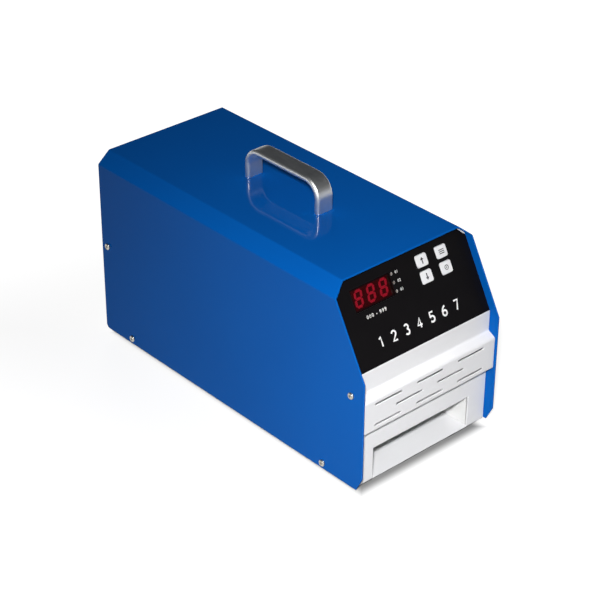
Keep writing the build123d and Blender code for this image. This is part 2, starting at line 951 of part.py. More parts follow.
with BuildPart() as chamber_back:
    with BuildSketch(Plane.YZ):
        with BuildLine():
            FilletPolyline(
                (chamber_back_y, glass_bottom),
                (chamber_back_y, floor_top),
                (chamber_back_y + back_foot, floor_top),
                radius=rail_sheet + edge_round,
            )
            offset(amount=rail_sheet, side=Side.LEFT, closed=True)
        make_face()
    extrude(amount=mouth_half + rail_seat, both=True)
    drill(on_floor(back_screw_places), screw_radius + clear_gap, 2 * rail_sheet)
chamber_back.part.label = "chamber_back"
export_step(chamber_back.part, "parts/chamber_back.step")

# Glass and its gasket
glass_half = mouth_half + rail_seat - glass_side_gap
with BuildPart() as glass_plate:
    box_between((-glass_half, chamber_front, glass_bottom), (glass_half, chamber_back_y, glass_top))
    chamfer(glass_plate.edges().filter_by(Axis.Z), edge_round)
glass_plate.part.label = "glass_plate"
export_step(glass_plate.part, "parts/glass_plate.step")

chamber_middle = (chamber_front + chamber_back_y) / 2
with BuildPart() as glass_gasket:
    with BuildSketch(Plane.XY.offset(glass_top)):
        with Locations((0, chamber_middle)):
            Rectangle(2 * housing_half, chamber_length)
            Rectangle(
                2 * (housing_half - gasket_width),
                chamber_length - 2 * gasket_width,
                mode=Mode.SUBTRACT,
            )
    extrude(amount=gasket_thickness)
glass_gasket.part.label = "glass_gasket"
export_step(glass_gasket.part, "parts/glass_gasket.step")

# Lamp housing, open underneath, on four posts
reflector_base = housing_bottom + reflector_rise
trough_span = chamber_length - 2 * (housing_wall + reflector_side_gap) - trough_web
trough_radius = trough_span / 4 - reflector_sheet
housing_flange_x = post_x + post_radius + clear_gap
housing_top = reflector_base + trough_radius + reflector_sheet + fit_gap + housing_wall
trough_offset = trough_radius + reflector_sheet + trough_web / 2
tube_y = [chamber_middle - trough_offset, chamber_middle + trough_offset]
tube_z = reflector_base + tube_focus
tube_ends = [
    Plane(origin=(side * housing_half, y, tube_z), x_dir=(0, side, 0), z_dir=(side, 0, 0))
    for side in (-1, 1)
    for y in tube_y
]
holder_screw_planes = [
    Plane(origin=plane.origin + Vector(0, 0, holder_screw_rise), x_dir=plane.x_dir, z_dir=plane.z_dir)
    for plane in tube_ends
]
with BuildPart() as lamp_housing:
    box_between(
        (-housing_half, chamber_front, housing_bottom), (housing_half, chamber_back_y, housing_top)
    )
    fillet(lamp_housing.edges().group_by(Axis.Z)[-1], housing_wall)
    box_between(
        (-housing_half + housing_wall, chamber_front + housing_wall, housing_bottom - housing_wall),
        (housing_half - housing_wall, chamber_back_y - housing_wall, housing_top - housing_wall),
        mode=Mode.SUBTRACT,
    )
    for side in (-1, 1):
        inner, outer = side * (housing_half - housing_wall / 2), side * housing_flange_x
        box_between(
            (min(inner, outer), chamber_front, housing_bottom),
            (max(inner, outer), chamber_back_y, housing_bottom + housing_wall),
        )
    drill(tube_ends, cap_radius + wall_hole_gap, 2 * housing_wall)
    drill(holder_screw_planes, screw_radius + thread_gap, 2 * housing_wall)
    drill(on_floor(post_places, housing_bottom), screw_radius + clear_gap, 2 * housing_wall)
lamp_housing.part.label = "lamp_housing"
export_step(lamp_housing.part, "parts/lamp_housing.step")

with BuildPart() as lamp_posts:
    with BuildSketch(Plane.XY.offset(floor_top)):
        with Locations(*post_places):
            RegularPolygon(post_radius, 6)
            Circle(screw_radius + thread_gap, mode=Mode.SUBTRACT)
    extrude(amount=housing_bottom - floor_top)
lamp_posts.part.label = "lamp_posts"
export_step(lamp_posts.part, "parts/lamp_posts.step")

# Reflector: two polished troughs joined by a web
with BuildPart() as reflector:
    with BuildSketch(Plane.YZ):
        with Locations(*[(y, reflector_base) for y in tube_y]):
            Circle(trough_radius + reflector_sheet)
        with Locations((chamber_middle, reflector_base + reflector_sheet / 2)):
            Rectangle(trough_web + 2 * reflector_sheet, reflector_sheet)
        with Locations(*[(y, reflector_base) for y in tube_y]):
            Circle(trough_radius, mode=Mode.SUBTRACT)
        with Locations((chamber_middle, reflector_base)):
            Rectangle(chamber_length, 2 * trough_radius + 4 * reflector_sheet, align=(Align.CENTER, Align.MAX),
                      mode=Mode.SUBTRACT)
    extrude(amount=housing_half - housing_wall - reflector_end_gap, both=True)
reflector.part.label = "reflector"
export_step(reflector.part, "parts/reflector.step")

# Flash tubes, their end caps and the ceramic holders outside the housing
tube_half = housing_half - housing_wall - tube_end_gap
with BuildPart() as flash_tubes:
    with BuildSketch(Plane.YZ):
        with Locations(*[(y, tube_z) for y in tube_y]):
            Circle(tube_radius)
            Circle(tube_bore, mode=Mode.SUBTRACT)
    extrude(amount=tube_half, both=True)
flash_tubes.part.label = "flash_tubes"
export_step(flash_tubes.part, "parts/flash_tubes.step")

cap_start = tube_half - cap_cover
with BuildPart() as tube_caps:
    for side in (-1, 1):
        for y in tube_y:
            end = Plane(origin=(side * cap_start, y, tube_z), x_dir=(0, side, 0), z_dir=(side, 0, 0))
            with BuildSketch(end):
                Circle(cap_radius)
                Circle(tube_radius + thread_gap, mode=Mode.SUBTRACT)
            extrude(amount=cap_cover)
            with BuildSketch(end.offset(cap_cover)):
                Circle(cap_radius)
            extrude(amount=cap_length - cap_cover)
            with BuildSketch(end.offset(cap_length)):
                Circle(cap_pin_radius)
            extrude(amount=cap_pin_length)
            with BuildSketch(end.offset(cap_cover)):
                Circle(electrode_radius)
            extrude(amount=-electrode_length)
tube_caps.part.label = "tube_caps"
export_step(tube_caps.part, "parts/tube_caps.step")

with BuildPart() as tube_holders:
    for plane in tube_ends:
        with BuildSketch(plane):
            with Locations((0, (holder_above - holder_below) / 2)):
                RectangleRounded(holder_width, holder_above + holder_below, edge_round * 3)
            Circle(cap_radius + thread_gap, mode=Mode.SUBTRACT)
            with Locations((0, holder_screw_rise)):
                Circle(screw_radius + clear_gap, mode=Mode.SUBTRACT)
        extrude(amount=holder_depth)
tube_holders.part.label = "tube_holders"
export_step(tube_holders.part, "parts/tube_holders.step")

holder_screw = pan_screw(holder_screw_length)
with BuildPart() as holder_screws:
    with Locations(*[plane.offset(holder_depth) for plane in holder_screw_planes]):
        add(holder_screw)
holder_screws.part.label = "holder_screws"
export_step(holder_screws.part, "parts/holder_screws.step")

# Power board, its capacitors, relay, trigger coil, heatsink, fuse and terminals
board_half = power_board_width / 2
board_low_y = power_board_front
board_high_y = power_board_front + power_board_length
with BuildPart() as power_board:
    box_between(
        (-board_half, board_low_y, power_board_bottom), (board_half, board_high_y, power_board_top)
    )
    drill(on_floor(board_post_places, power_board_top), screw_radius + clear_gap, 2 * board_thickness)
power_board.part.label = "power_board"
export_step(power_board.part, "parts/power_board.step")


def on_board(*places):
    """Planes on the power board's upper face."""
    return on_floor(places, power_board_top)


capacitor_x = -board_half + capacitor_inset
capacitor_y = board_low_y + capacitor_inset + board_inset
capacitor_places = [
    (capacitor_x + i * capacitor_pitch, capacitor_y + j * capacitor_pitch) for i in (0, 1) for j in (0, 1)
]
with BuildPart() as capacitors:
    with Locations(*on_board(*capacitor_places)):
        Cylinder(capacitor_radius, capacitor_height, align=LOW)
    fillet(capacitors.edges().group_by(Axis.Z)[-1], edge_round * 3)
    with BuildSketch(Plane.XY.offset(power_board_top + capacitor_height)):
        with Locations(*capacitor_places):
            Rectangle(capacitor_radius * 1.2, edge_round)
            Rectangle(edge_round, capacitor_radius * 1.2)
    extrude(amount=-edge_round, mode=Mode.SUBTRACT)
capacitors.part.label = "capacitors"
export_step(capacitors.part, "parts/capacitors.step")

right_x = capacitor_x + capacitor_pitch + capacitor_radius + heatsink_width / 2 + board_inset
relay_y = board_low_y + relay_depth / 2 + 2 * board_inset
with BuildPart() as relay:
    with Locations(*on_board((right_x, relay_y))):
        Box(relay_width, relay_depth, relay_height, align=LOW)
    fillet(relay.edges().group_by(Axis.Z)[-1], edge_round)
relay.part.label = "relay"
export_step(relay.part, "parts/relay.step")

trigger_y = relay_y + relay_depth / 2 + board_inset + coil_radius
with BuildPart() as trigger_coil:
    with Locations(*on_board((right_x, trigger_y))):
        Box(2 * coil_radius, 2 * coil_radius, coil_base, align=LOW)
        Cylinder(coil_radius - edge_round, coil_height, align=LOW)
trigger_coil.part.label = "trigger_coil"
export_step(trigger_coil.part, "parts/trigger_coil.step")

heatsink_y = trigger_y + coil_radius + board_inset + transistor_depth + heatsink_depth / 2
fin_pitch = (heatsink_width - heatsink_fin) / (heatsink_fins - 1)
heatsink_front = heatsink_y - heatsink_depth / 2
with BuildPart() as heatsink:
    with Locations(*on_board((right_x, heatsink_front + heatsink_base / 2))):
        Box(heatsink_width, heatsink_base, heatsink_height, align=LOW)
    for i in range(heatsink_fins):
        x = right_x - heatsink_width / 2 + heatsink_fin / 2 + i * fin_pitch
        with Locations(*on_board((x, heatsink_y))):
            Box(heatsink_fin, heatsink_depth, heatsink_height, align=LOW)
heatsink.part.label = "heatsink"
export_step(heatsink.part, "parts/heatsink.step")

with BuildPart() as power_transistor:
    with Locations(*on_board((right_x, heatsink_front - transistor_depth / 2))):
        Box(transistor_width, transistor_depth, transistor_height, align=LOW)
    chamfer(power_transistor.edges().group_by(Axis.Z)[-1], edge_round)
power_transistor.part.label = "power_transistor"
export_step(power_transistor.part, "parts/power_transistor.step")

terminal_y = board_high_y - terminal_depth / 2 - board_inset
terminal_x = board_half - 3 * board_inset - terminal_width / 2
with BuildPart() as terminal_block:
    with Locations(*on_board((terminal_x, terminal_y))):
        Box(terminal_width, terminal_depth, terminal_height, align=LOW)
    chamfer(terminal_block.edges().filter_by(Axis.X).group_by(Axis.Z)[-1], board_inset / 2)
terminal_block.part.label = "terminal_block"
export_step(terminal_block.part, "parts/terminal_block.step")

fuse_y = terminal_y
fuse_x = terminal_x - terminal_width / 2 - board_inset - fuse_length / 2
fuse_z = power_board_top + fuse_radius + clip_width / 2
with BuildPart() as fuse:
    with Locations(Plane(origin=(fuse_x, fuse_y, fuse_z), z_dir=(1, 0, 0))):
        Cylinder(fuse_radius, fuse_length)
fuse.part.label = "fuse"
export_step(fuse.part, "parts/fuse.step")

with BuildPart() as fuse_clips:
    for side in (-1, 1):
        clip_x = fuse_x + side * (fuse_length - clip_width) / 2
        for y_side in (-1, 1):
            inner = fuse_y + y_side * (fuse_radius + thread_gap)
            outer = inner + y_side * clip_sheet
            box_between(
                (clip_x - clip_width / 2, min(inner, outer), power_board_top),
                (clip_x + clip_width / 2, max(inner, outer), fuse_z + fuse_radius / 2),
            )
        box_between(
            (
                clip_x - clip_width / 2,
                fuse_y - fuse_radius - thread_gap - clip_sheet / 2,
                power_board_top,
            ),
            (
                clip_x + clip_width / 2,
                fuse_y + fuse_radius + thread_gap + clip_sheet / 2,
                power_board_top + clip_sheet,
            ),
        )
fuse_clips.part.label = "fuse_clips"
export_step(fuse_clips.part, "parts/fuse_clips.step")

# Transformer: laminated core, winding and strap
window_run = (core_width - 4 * core_limb) / 2
with BuildPart() as transformer_core:
    with BuildSketch(Plane.XZ.offset(-(core_y - core_depth / 2))):
        with Locations((transformer_x, floor_top + core_height / 2)):
            Rectangle(core_width, core_height)
            with Locations((-core_limb - window_run / 2, 0), (core_limb + window_run / 2, 0)):
                Rectangle(window_run, core_height - 2 * core_limb, mode=Mode.SUBTRACT)
    extrude(amount=-core_depth)
transformer_core.part.label = "transformer_core"
export_step(transformer_core.part, "parts/transformer_core.step")

winding_height = core_height - 2 * core_limb - 2 * coil_gap
winding_z = floor_top + core_limb + coil_gap
with BuildPart() as transformer_coil:
    with BuildSketch(Plane.XY.offset(winding_z)):
        with Locations((transformer_x, core_y)):
            RectangleRounded(
                2 * (core_limb + window_run - coil_gap), core_depth + 2 * (coil_swell + coil_gap), window_run / 2
            )
            Rectangle(2 * (core_limb + coil_gap), core_depth + 2 * coil_gap, mode=Mode.SUBTRACT)
    extrude(amount=winding_height)
transformer_coil.part.label = "transformer_coil"
export_step(transformer_coil.part, "parts/transformer_coil.step")

strap_half = core_width / 2
with BuildPart() as transformer_strap:
    with BuildSketch(Plane.XZ.offset(-(core_y - core_limb))):
        with BuildLine():
            Polyline(
                (transformer_x - strap_half - strap_sheet - strap_foot, floor_top),
                (transformer_x - strap_half, floor_top),
                (transformer_x - strap_half, floor_top + core_height),
                (transformer_x + strap_half, floor_top + core_height),
                (transformer_x + strap_half, floor_top),
                (transformer_x + strap_half + strap_sheet + strap_foot, floor_top),
            )
            offset(amount=strap_sheet, side=Side.LEFT, closed=True, kind=Kind.INTERSECTION)
        make_face()
    extrude(amount=-2 * core_limb)
    drill(on_floor(strap_screw_places), screw_radius + clear_gap, 2 * strap_sheet)
transformer_strap.part.label = "transformer_strap"
export_step(transformer_strap.part, "parts/transformer_strap.step")

# Screws that hold rails, chamber back, lamp housing and transformer
rail_screw = pan_screw(rail_screw_length)
post_screw = pan_screw(post_screw_length)
with BuildPart() as frame_screws:
    with Locations(
        *on_floor(rail_screw_places + back_screw_places, floor_top + rail_sheet),
        *on_floor(strap_screw_places, floor_top + strap_sheet),
    ):
        add(rail_screw)
    with Locations(*on_floor(post_places, housing_bottom + housing_wall)):
        add(post_screw)
frame_screws.part.label = "frame_screws"
export_step(frame_screws.part, "parts/frame_screws.step")

# Fan: frame with its motor mount and bearing, rotor and wire guard
fan_back = Plane(origin=(fan_x, wall_inner_y, fan_z), x_dir=(-1, 0, 0), z_dir=(0, 1, 0))
fan_front = fan_back.offset(-fan_depth)
fan_corners = [(sx * fan_hole_pitch / 2, sz * fan_hole_pitch / 2) for sx in (-1, 1) for sz in (-1, 1)]
with BuildPart() as fan_frame:
    with BuildSketch(fan_front):
        RectangleRounded(fan_size, fan_size, fan_corner)
        Circle(fan_bore / 2, mode=Mode.SUBTRACT)
        with Locations(*fan_corners):
            Circle(screw_radius + thread_gap, mode=Mode.SUBTRACT)
    extrude(amount=fan_depth)
    with BuildSketch(fan_front):
        with PolarLocations(0, 4, start_angle=45):
            Rectangle(fan_bore + 2 * edge_round, strut_width)
        Circle(hub_radius - motor_inset)
    extrude(amount=strut_depth)
    with BuildSketch(fan_front):
        Circle(hub_radius - hub_wall - stator_gap)
    extrude(amount=strut_depth + stator_depth)
    with BuildSketch(fan_front.offset(strut_depth / 2)):
        Circle(shaft_radius + bearing_gap)
    extrude(amount=fan_depth, mode=Mode.SUBTRACT)
fan_frame.part.label = "fan_frame"
export_step(fan_frame.part, "parts/fan_frame.step")

rotor_start = strut_depth + blade_tip_gap
blade_radius = fan_bore / 2 - blade_tip_gap
blade_chord = hub_depth / sin(radians(blade_pitch))
rotor_front = fan_front.offset(rotor_start)
rotor_middle = fan_front.offset(rotor_start + hub_depth / 2)
with BuildPart() as fan_rotor:
    for i in range(blade_count):
        turn = radians(i * 360 / blade_count)
        spoke = Vector(cos(turn), 0, sin(turn))
        with BuildSketch(Plane(origin=rotor_middle.origin, x_dir=(0, 1, 0), z_dir=spoke)):
            Rectangle(blade_chord, blade_thickness, rotation=90 - blade_pitch)
        extrude(amount=fan_bore / 2)
    with BuildSketch(rotor_front):
        Circle(blade_radius)
    extrude(amount=hub_depth, mode=Mode.INTERSECT)
    with BuildSketch(rotor_front):
        Circle(hub_radius)
    extrude(amount=hub_depth)
    with BuildSketch(rotor_front):
        Circle(hub_radius - hub_wall)
    extrude(amount=hub_depth - hub_wall, mode=Mode.SUBTRACT)
    with BuildSketch(fan_front.offset(strut_depth)):
        Circle(shaft_radius)
    extrude(amount=rotor_start + hub_depth - strut_depth - hub_wall / 2)
fan_rotor.part.label = "fan_rotor"
export_step(fan_rotor.part, "parts/fan_rotor.step")

guard_plane = fan_back.offset(pan_sheet + guard_leg_wire / 2)
eye_reach = hypot(fan_hole_pitch, fan_hole_pitch) / 2
with BuildPart() as fan_guard:
    with Locations(guard_plane):
        for i in range(1, guard_rings + 1):
            Torus(i * guard_ring_pitch, guard_wire / 2)
    for turn in (45, 135, 225, 315):
        spoke = Vector(cos(radians(turn)), 0, sin(radians(turn)))
        with Locations(Plane(origin=guard_plane.origin + spoke * guard_ring_pitch, z_dir=spoke)):
            Cylinder(guard_leg_wire / 2, eye_reach - guard_ring_pitch, align=LOW)
    with Locations(*on_wall(fan_screw_places)):
        Cylinder(guard_eye, guard_leg_wire, align=LOW)
    drill(on_wall(fan_screw_places), screw_radius + clear_gap, 2 * guard_leg_wire)
fan_guard.part.label = "fan_guard"
export_step(fan_guard.part, "parts/fan_guard.step")

# Screws of the fan and of the inlet, all alike
rear_screw = pan_screw(rear_screw_length)
with BuildPart() as rear_screws:
    with Locations(
        *on_wall(fan_screw_places, wall_y + guard_leg_wire),
        *on_wall(inlet_screw_places, wall_y + inlet_flange),
    ):
        add(rear_screw)
rear_screws.part.label = "rear_screws"
export_step(rear_screws.part, "parts/rear_screws.step")

# Mains inlet and its blades
inlet = on_wall([(inlet_x, inlet_z)])[0]
pin_places = [
    (-blade_pin_spacing, -blade_pin_offset),
    (blade_pin_spacing, -blade_pin_offset),
    (0, blade_pin_offset),
]
with BuildPart() as power_inlet:
    with BuildSketch(inlet):
        RectangleRounded(inlet_flange_width, inlet_flange_height, key_radius * 2)
        with Locations((-inlet_screw_pitch / 2, 0), (inlet_screw_pitch / 2, 0)):
            Circle(screw_radius + clear_gap, mode=Mode.SUBTRACT)
    extrude(amount=inlet_flange)
    with BuildSketch(inlet):
        Rectangle(inlet_body_width, inlet_body_height)
    extrude(amount=-inlet_body_depth)
    with BuildSketch(inlet.offset(inlet_flange)) as cavity:
        Rectangle(inlet_cavity_width, inlet_cavity_height)
        chamfer(cavity.vertices().group_by(Axis.Y)[-1], inlet_cavity_height / 4)
    extrude(amount=-inlet_cavity_depth, mode=Mode.SUBTRACT)
    with BuildSketch(inlet.offset(-inlet_body_depth)):
        with Locations(*pin_places):
            Rectangle(blade_pin_thickness + 2 * thread_gap, blade_pin_width + 2 * thread_gap)
    extrude(amount=inlet_body_depth, mode=Mode.SUBTRACT)
power_inlet.part.label = "power_inlet"
export_step(power_inlet.part, "parts/power_inlet.step")

with BuildPart() as inlet_pins:
    with BuildSketch(inlet.offset(inlet_flange - blade_pin_mouth)):
        with Locations(*pin_places):
            Rectangle(blade_pin_thickness, blade_pin_width)
    extrude(amount=-(inlet_flange - blade_pin_mouth + inlet_body_depth + blade_pin_tail))
    pin_tips = inlet_pins.edges().group_by(Axis.Y)[-1]
    chamfer(pin_tips, edge_round)
inlet_pins.part.label = "inlet_pins"
export_step(inlet_pins.part, "parts/inlet_pins.step")

# Power switch: housing snapped into the wall, and a rocker on two stub pins
switch_plane = on_wall([(inlet_x, rocker_z)])[0]
pivot_y = wall_y + bezel_thickness - rocker_sink
rocker_half_width = rocker_well_width / 2 - rocker_gap
pivot_reach = rocker_well_width / 2 + rocker_pin_length
rocker_side = Plane(origin=(inlet_x, pivot_y, rocker_z), x_dir=(0, 0, 1), z_dir=(-1, 0, 0))
with BuildPart() as switch_housing:
    with BuildSketch(switch_plane):
        RectangleRounded(bezel_width, bezel_height, key_radius)
    extrude(amount=bezel_thickness)
    fillet(switch_housing.edges().group_by(Axis.Y)[-1], edge_round)
    with BuildSketch(switch_plane):
        Rectangle(switch_body_width, switch_body_height)
    extrude(amount=-switch_body_depth)
    with BuildSketch(switch_plane.offset(bezel_thickness)):
        Rectangle(rocker_well_width, rocker_well_height)
    extrude(amount=-rocker_well_depth, mode=Mode.SUBTRACT)
    with BuildSketch(rocker_side):
        Circle(rocker_pin_radius + rocker_pin_gap)
    extrude(amount=pivot_reach + rocker_pin_gap, both=True, mode=Mode.SUBTRACT)
switch_housing.part.label = "switch_housing"
export_step(switch_housing.part, "parts/switch_housing.step")

rocker_end_rise = rocker_face_rise + rocker_half_height * tan(radians(rocker_tilt))
with BuildPart() as switch_rocker:
    with BuildSketch(rocker_side):
        Polygon(
            (-rocker_half_height, rocker_end_rise),
            (0, rocker_face_rise),
            (rocker_half_height, rocker_end_rise),
            (rocker_half_height - rocker_pin_length, -rocker_pin_radius),
            (-rocker_half_height + rocker_pin_length, -rocker_pin_radius),
            rotation=rocker_tilt,
            align=None,
        )
        Circle(rocker_belly_radius)
    extrude(amount=rocker_half_width, both=True)
    with BuildSketch(rocker_side):
        Circle(rocker_pin_radius)
    extrude(amount=pivot_reach, both=True)
switch_rocker.part.label = "switch_rocker"
export_step(switch_rocker.part, "parts/switch_rocker.step")

switch_tab_places = [(0, i * tab_terminal_pitch) for i in (-1, 0, 1)]
with BuildPart() as switch_tabs:
    with BuildSketch(switch_plane.offset(-switch_body_depth)):
        with Locations(*switch_tab_places):
            Rectangle(tab_terminal_width, tab_terminal_sheet)
    extrude(amount=-tab_terminal_length)
switch_tabs.part.label = "switch_tabs"
export_step(switch_tabs.part, "parts/switch_tabs.step")

# Ribbon cable from the control board to the power board, with a plug at each end
ribbon_low_y = power_board_front + ribbon_plug_depth / 2 + edge_round
ribbon_panel_y = board_y - ribbon_drop
with BuildPart() as ribbon_plugs:
    with BuildSketch(behind_panel(board_back)):
        with Locations((right_x, ribbon_panel_y)):
            Rectangle(ribbon_width + 2 * edge_round, ribbon_plug_depth)
    extrude(amount=-ribbon_plug_height)
    with Locations(*on_board((right_x, ribbon_low_y))):
        Box(ribbon_width + 2 * edge_round, ribbon_plug_depth, ribbon_plug_height, align=LOW)
ribbon_plugs.part.label = "ribbon_plugs"
export_step(ribbon_plugs.part, "parts/ribbon_plugs.step")

ribbon_start = behind_panel(board_back + ribbon_plug_height).from_local_coords((0, ribbon_panel_y, 0))
ribbon_turn = behind_panel(board_back + ribbon_plug_height + ribbon_lead).from_local_coords(
    (0, ribbon_panel_y, 0)
)
ribbon_end_z = power_board_top + ribbon_plug_height
with BuildPart() as ribbon_cable:
    with BuildSketch(Plane.YZ.offset(right_x)):
        with BuildLine():
            FilletPolyline(
                (ribbon_start.Y, ribbon_start.Z),
                (ribbon_turn.Y, ribbon_turn.Z),
                (ribbon_low_y, housing_top + ribbon_lead * 2),
                (ribbon_low_y, ribbon_end_z),
                radius=ribbon_bend,
            )
            offset(amount=ribbon_thickness, side=Side.LEFT, closed=True)
        make_face()
    extrude(amount=ribbon_width / 2, both=True)
ribbon_cable.part.label = "ribbon_cable"
export_step(ribbon_cable.part, "parts/ribbon_cable.step")


def lead(*points):
    """A round wire of straight runs and arcs through the points."""
    with BuildPart() as wire:
        with BuildLine() as route:
            FilletPolyline(*points, radius=lead_bend)
        with BuildSketch(Plane(origin=points[0], z_dir=Vector(*points[1]) - Vector(*points[0]))):
            Circle(lead_radius)
        sweep(path=route.wires()[0])
    return wire.part


# Mains leads from the inlet's blades to the terminals
terminal_back_y = terminal_y + terminal_depth / 2
terminal_z = power_board_top + terminal_height / 2
inlet_tail_y = wall_y - inlet_body_depth - blade_pin_tail
lead_step = terminal_width / 6
mains = []
for i, (px, pz) in enumerate(pin_places):
    x, z = inlet_x - px, inlet_z + pz
    end_x = terminal_x + (1 - i) * lead_step
    mains.append(
        lead(
            (x, inlet_tail_y, z),
            (x, inlet_tail_y - lead_run, z),
            (end_x, terminal_back_y + lead_run, terminal_z),
            (end_x, terminal_back_y, terminal_z),
        )
    )
with BuildPart() as mains_leads:
    for wire in mains:
        add(wire)
mains_leads.part.label = "mains_leads"
export_step(mains_leads.part, "parts/mains_leads.step")
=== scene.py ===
from math import cos, pi, radians, sin

import bpy
from mathutils import Matrix, Vector


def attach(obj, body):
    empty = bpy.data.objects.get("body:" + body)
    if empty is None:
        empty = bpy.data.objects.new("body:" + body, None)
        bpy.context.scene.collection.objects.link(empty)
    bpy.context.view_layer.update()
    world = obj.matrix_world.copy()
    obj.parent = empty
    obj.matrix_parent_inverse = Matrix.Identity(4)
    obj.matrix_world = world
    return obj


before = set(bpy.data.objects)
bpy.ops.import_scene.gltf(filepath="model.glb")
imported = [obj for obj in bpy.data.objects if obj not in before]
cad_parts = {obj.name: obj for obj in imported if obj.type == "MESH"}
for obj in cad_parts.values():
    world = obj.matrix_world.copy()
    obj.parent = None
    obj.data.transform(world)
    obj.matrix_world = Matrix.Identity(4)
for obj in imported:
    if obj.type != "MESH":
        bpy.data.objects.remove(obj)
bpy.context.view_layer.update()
print("frame loaded,", len(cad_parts), "nodes")


# camera, at the photograph's viewing angle

view = {
    "azimuth": radians(-42.202),
    "elevation": radians(31.273),
    "roll": radians(0.386),
    "distance": 1.603623,
    "lookAt": Vector((0, 0.035, 0.106)),
    "across": 0.029371,
    "up": -0.036999,
    "lens": 113.551,
    "sensor": 36,
    "near": 0.05,
    "far": 50,
}


def makeCamera(view):
    a, e, r = view["azimuth"], view["elevation"], view["roll"]
    back = Vector((sin(a) * cos(e), -cos(a) * cos(e), sin(e)))
    right = Vector((cos(a), sin(a), 0))
    up = back.cross(right)
    right, up = right * cos(r) + up * sin(r), up * cos(r) - right * sin(r)
    data = bpy.data.cameras.new("photoCamera")
    data.lens = view["lens"]
    data.sensor_width = view["sensor"]
    data.clip_start, data.clip_end = view["near"], view["far"]
    camera = bpy.data.objects.new("photoCamera", data)
    turn = Matrix((right, up, back)).transposed()
    spot = view["lookAt"] + back * view["distance"] + right * view["across"] + up * view["up"]
    camera.matrix_world = Matrix.Translation(spot) @ turn.to_4x4()
    bpy.context.collection.objects.link(camera)
    bpy.context.scene.camera = camera


makeCamera(view)
print("camera placed")


# the slanted panel's own plane: its foot, its lean and its length in millimetres

panel = {"foot": Vector((0, -0.1556, 0.109588)), "tilt": radians(28.9526), "length": 77.726}


# materials

def plug(tree, target, value):
    if isinstance(value, Flow):
        tree.links.new(value.socket, target)
    else:
        target.default_value = value


class Flow:
    # a socket in a material's nodes, used in sums as if it were a number
    def __init__(self, tree, socket):
        self.tree = tree
        self.socket = socket

    def maths(self, operation, first, second):
        node = self.tree.nodes.new("ShaderNodeMath")
        node.operation = operation
        plug(self.tree, node.inputs[0], first)
        plug(self.tree, node.inputs[1], second)
        return Flow(self.tree, node.outputs[0])

    def absolute(self):
        return self.maths("ABSOLUTE", self, 0.0)

    def larger(self, other):
        return self.maths("MAXIMUM", self, other)

    def __add__(self, other):
        return self.maths("ADD", self, other)

    def __sub__(self, other):
        return self.maths("SUBTRACT", self, other)

    def __rsub__(self, other):
        return self.maths("SUBTRACT", other, self)

    def __mul__(self, other):
        return self.maths("MULTIPLY", self, other)

    def __gt__(self, other):
        return self.maths("GREATER_THAN", self, other)

    def __lt__(self, other):
        return self.maths("LESS_THAN", self, other)

    __radd__ = __add__
    __rmul__ = __mul__


class Nodes:
    # the nodes of one material or sky; a colour is three numbers or a flow
    def __init__(self, tree):
        self.tree = tree

    def node(self, kind, settings=None, sockets=None, out=0):
        made = self.tree.nodes.new(kind)
        for name, value in (settings or {}).items():
            setattr(made, name, value)
        for name, value in (sockets or {}).items():
            plug(self.tree, made.inputs[name], value)
        return Flow(self.tree, made.outputs[out])

    def place(self, stretch=(1, 1, 1)):
        spot = self.node("ShaderNodeTexCoord", out="Object")
        return self.node("ShaderNodeMapping", None, {"Vector": spot, "Scale": stretch})

    def parts(self, vector, axes):
        return [self.node("ShaderNodeSeparateXYZ", None, {0: vector}, axis) for axis in axes]

    def noise(self, scale, detail=2.0, stretch=(1, 1, 1)):
        sockets = {"Vector": self.place(stretch), "Scale": scale, "Detail": detail}
        return self.node("ShaderNodeTexNoise", None, sockets, "Fac")

    def stripes(self, scale, direction):
        settings = {"wave_type": "BANDS", "bands_direction": direction}
        return self.node("ShaderNodeTexWave", settings, {"Vector": self.place(), "Scale": scale}, "Fac")

    def mask(self, value, low, high):
        sockets = {"Value": value, "From Min": low, "From Max": high}
        return self.node("ShaderNodeMapRange", {"interpolation_type": "SMOOTHSTEP"}, sockets)

    def blend(self, factor, first, second):
        first, second = [colour if isinstance(colour, Flow) else (*colour, 1) for colour in (first, second)]
        return self.node("ShaderNodeMix", {"data_type": "RGBA"}, {0: factor, 6: first, 7: second}, 2)

    def edges(self, radius):
        # how far the surface turns within the radius: 0 on flats, towards 1 on an outer edge
        rounded = self.node("ShaderNodeBevel", {"samples": 6}, {"Radius": radius})
        flat = self.node("ShaderNodeNewGeometry", out="Normal")
        both = {0: rounded, 1: flat}
        facing = self.node("ShaderNodeVectorMath", {"operation": "DOT_PRODUCT"}, both, "Value")
        return rounded, 1 - facing

    def seen(self):
        # 1 for what the camera sees straight, in gloss or through glass
        rays = ("Is Camera Ray", "Is Glossy Ray", "Is Transmission Ray")
        straight, glossy, through = [self.node("ShaderNodeLightPath", out=ray) for ray in rays]
        return (straight + glossy + through) > 0.5


class Finish(Nodes):
    def __init__(self, name, constants):
        self.material = bpy.data.materials.new(name)
        self.material.use_nodes = True
        super().__init__(self.material.node_tree)
        self.shader = self.tree.nodes["Principled BSDF"]
        for socket, value in constants.items():
            self.shader.inputs[socket].default_value = value

    def feed(self, socket, value):
        plug(self.tree, self.shader.inputs[socket], value)

    def bump(self, height, strength, distance, normal=None):
        sockets = {"Strength": strength, "Distance": distance, "Height": height}
        if normal:
            sockets["Normal"] = normal
        self.feed("Normal", self.node("ShaderNodeBump", None, sockets))


# what all finishes of one kind share

kinds = {
    "paint": {"edgeFrom": 0.02, "edgeTo": 0.3, "cloudRough": 0.1, "peelRough": 0.04, "relief": 0.0003},
    "plastic": {"clouds": 35, "grainRough": 0.12, "relief": 0.0002},
    "metal": {"relief": 0.0001},
    "glass": {"smears": 60, "smearRough": 0.05},
    "glow": {"grain": 900, "roughness": 0.4},
    "layers": {"clouds": 60, "cloudRough": 0.1, "relief": 0.0003},
}


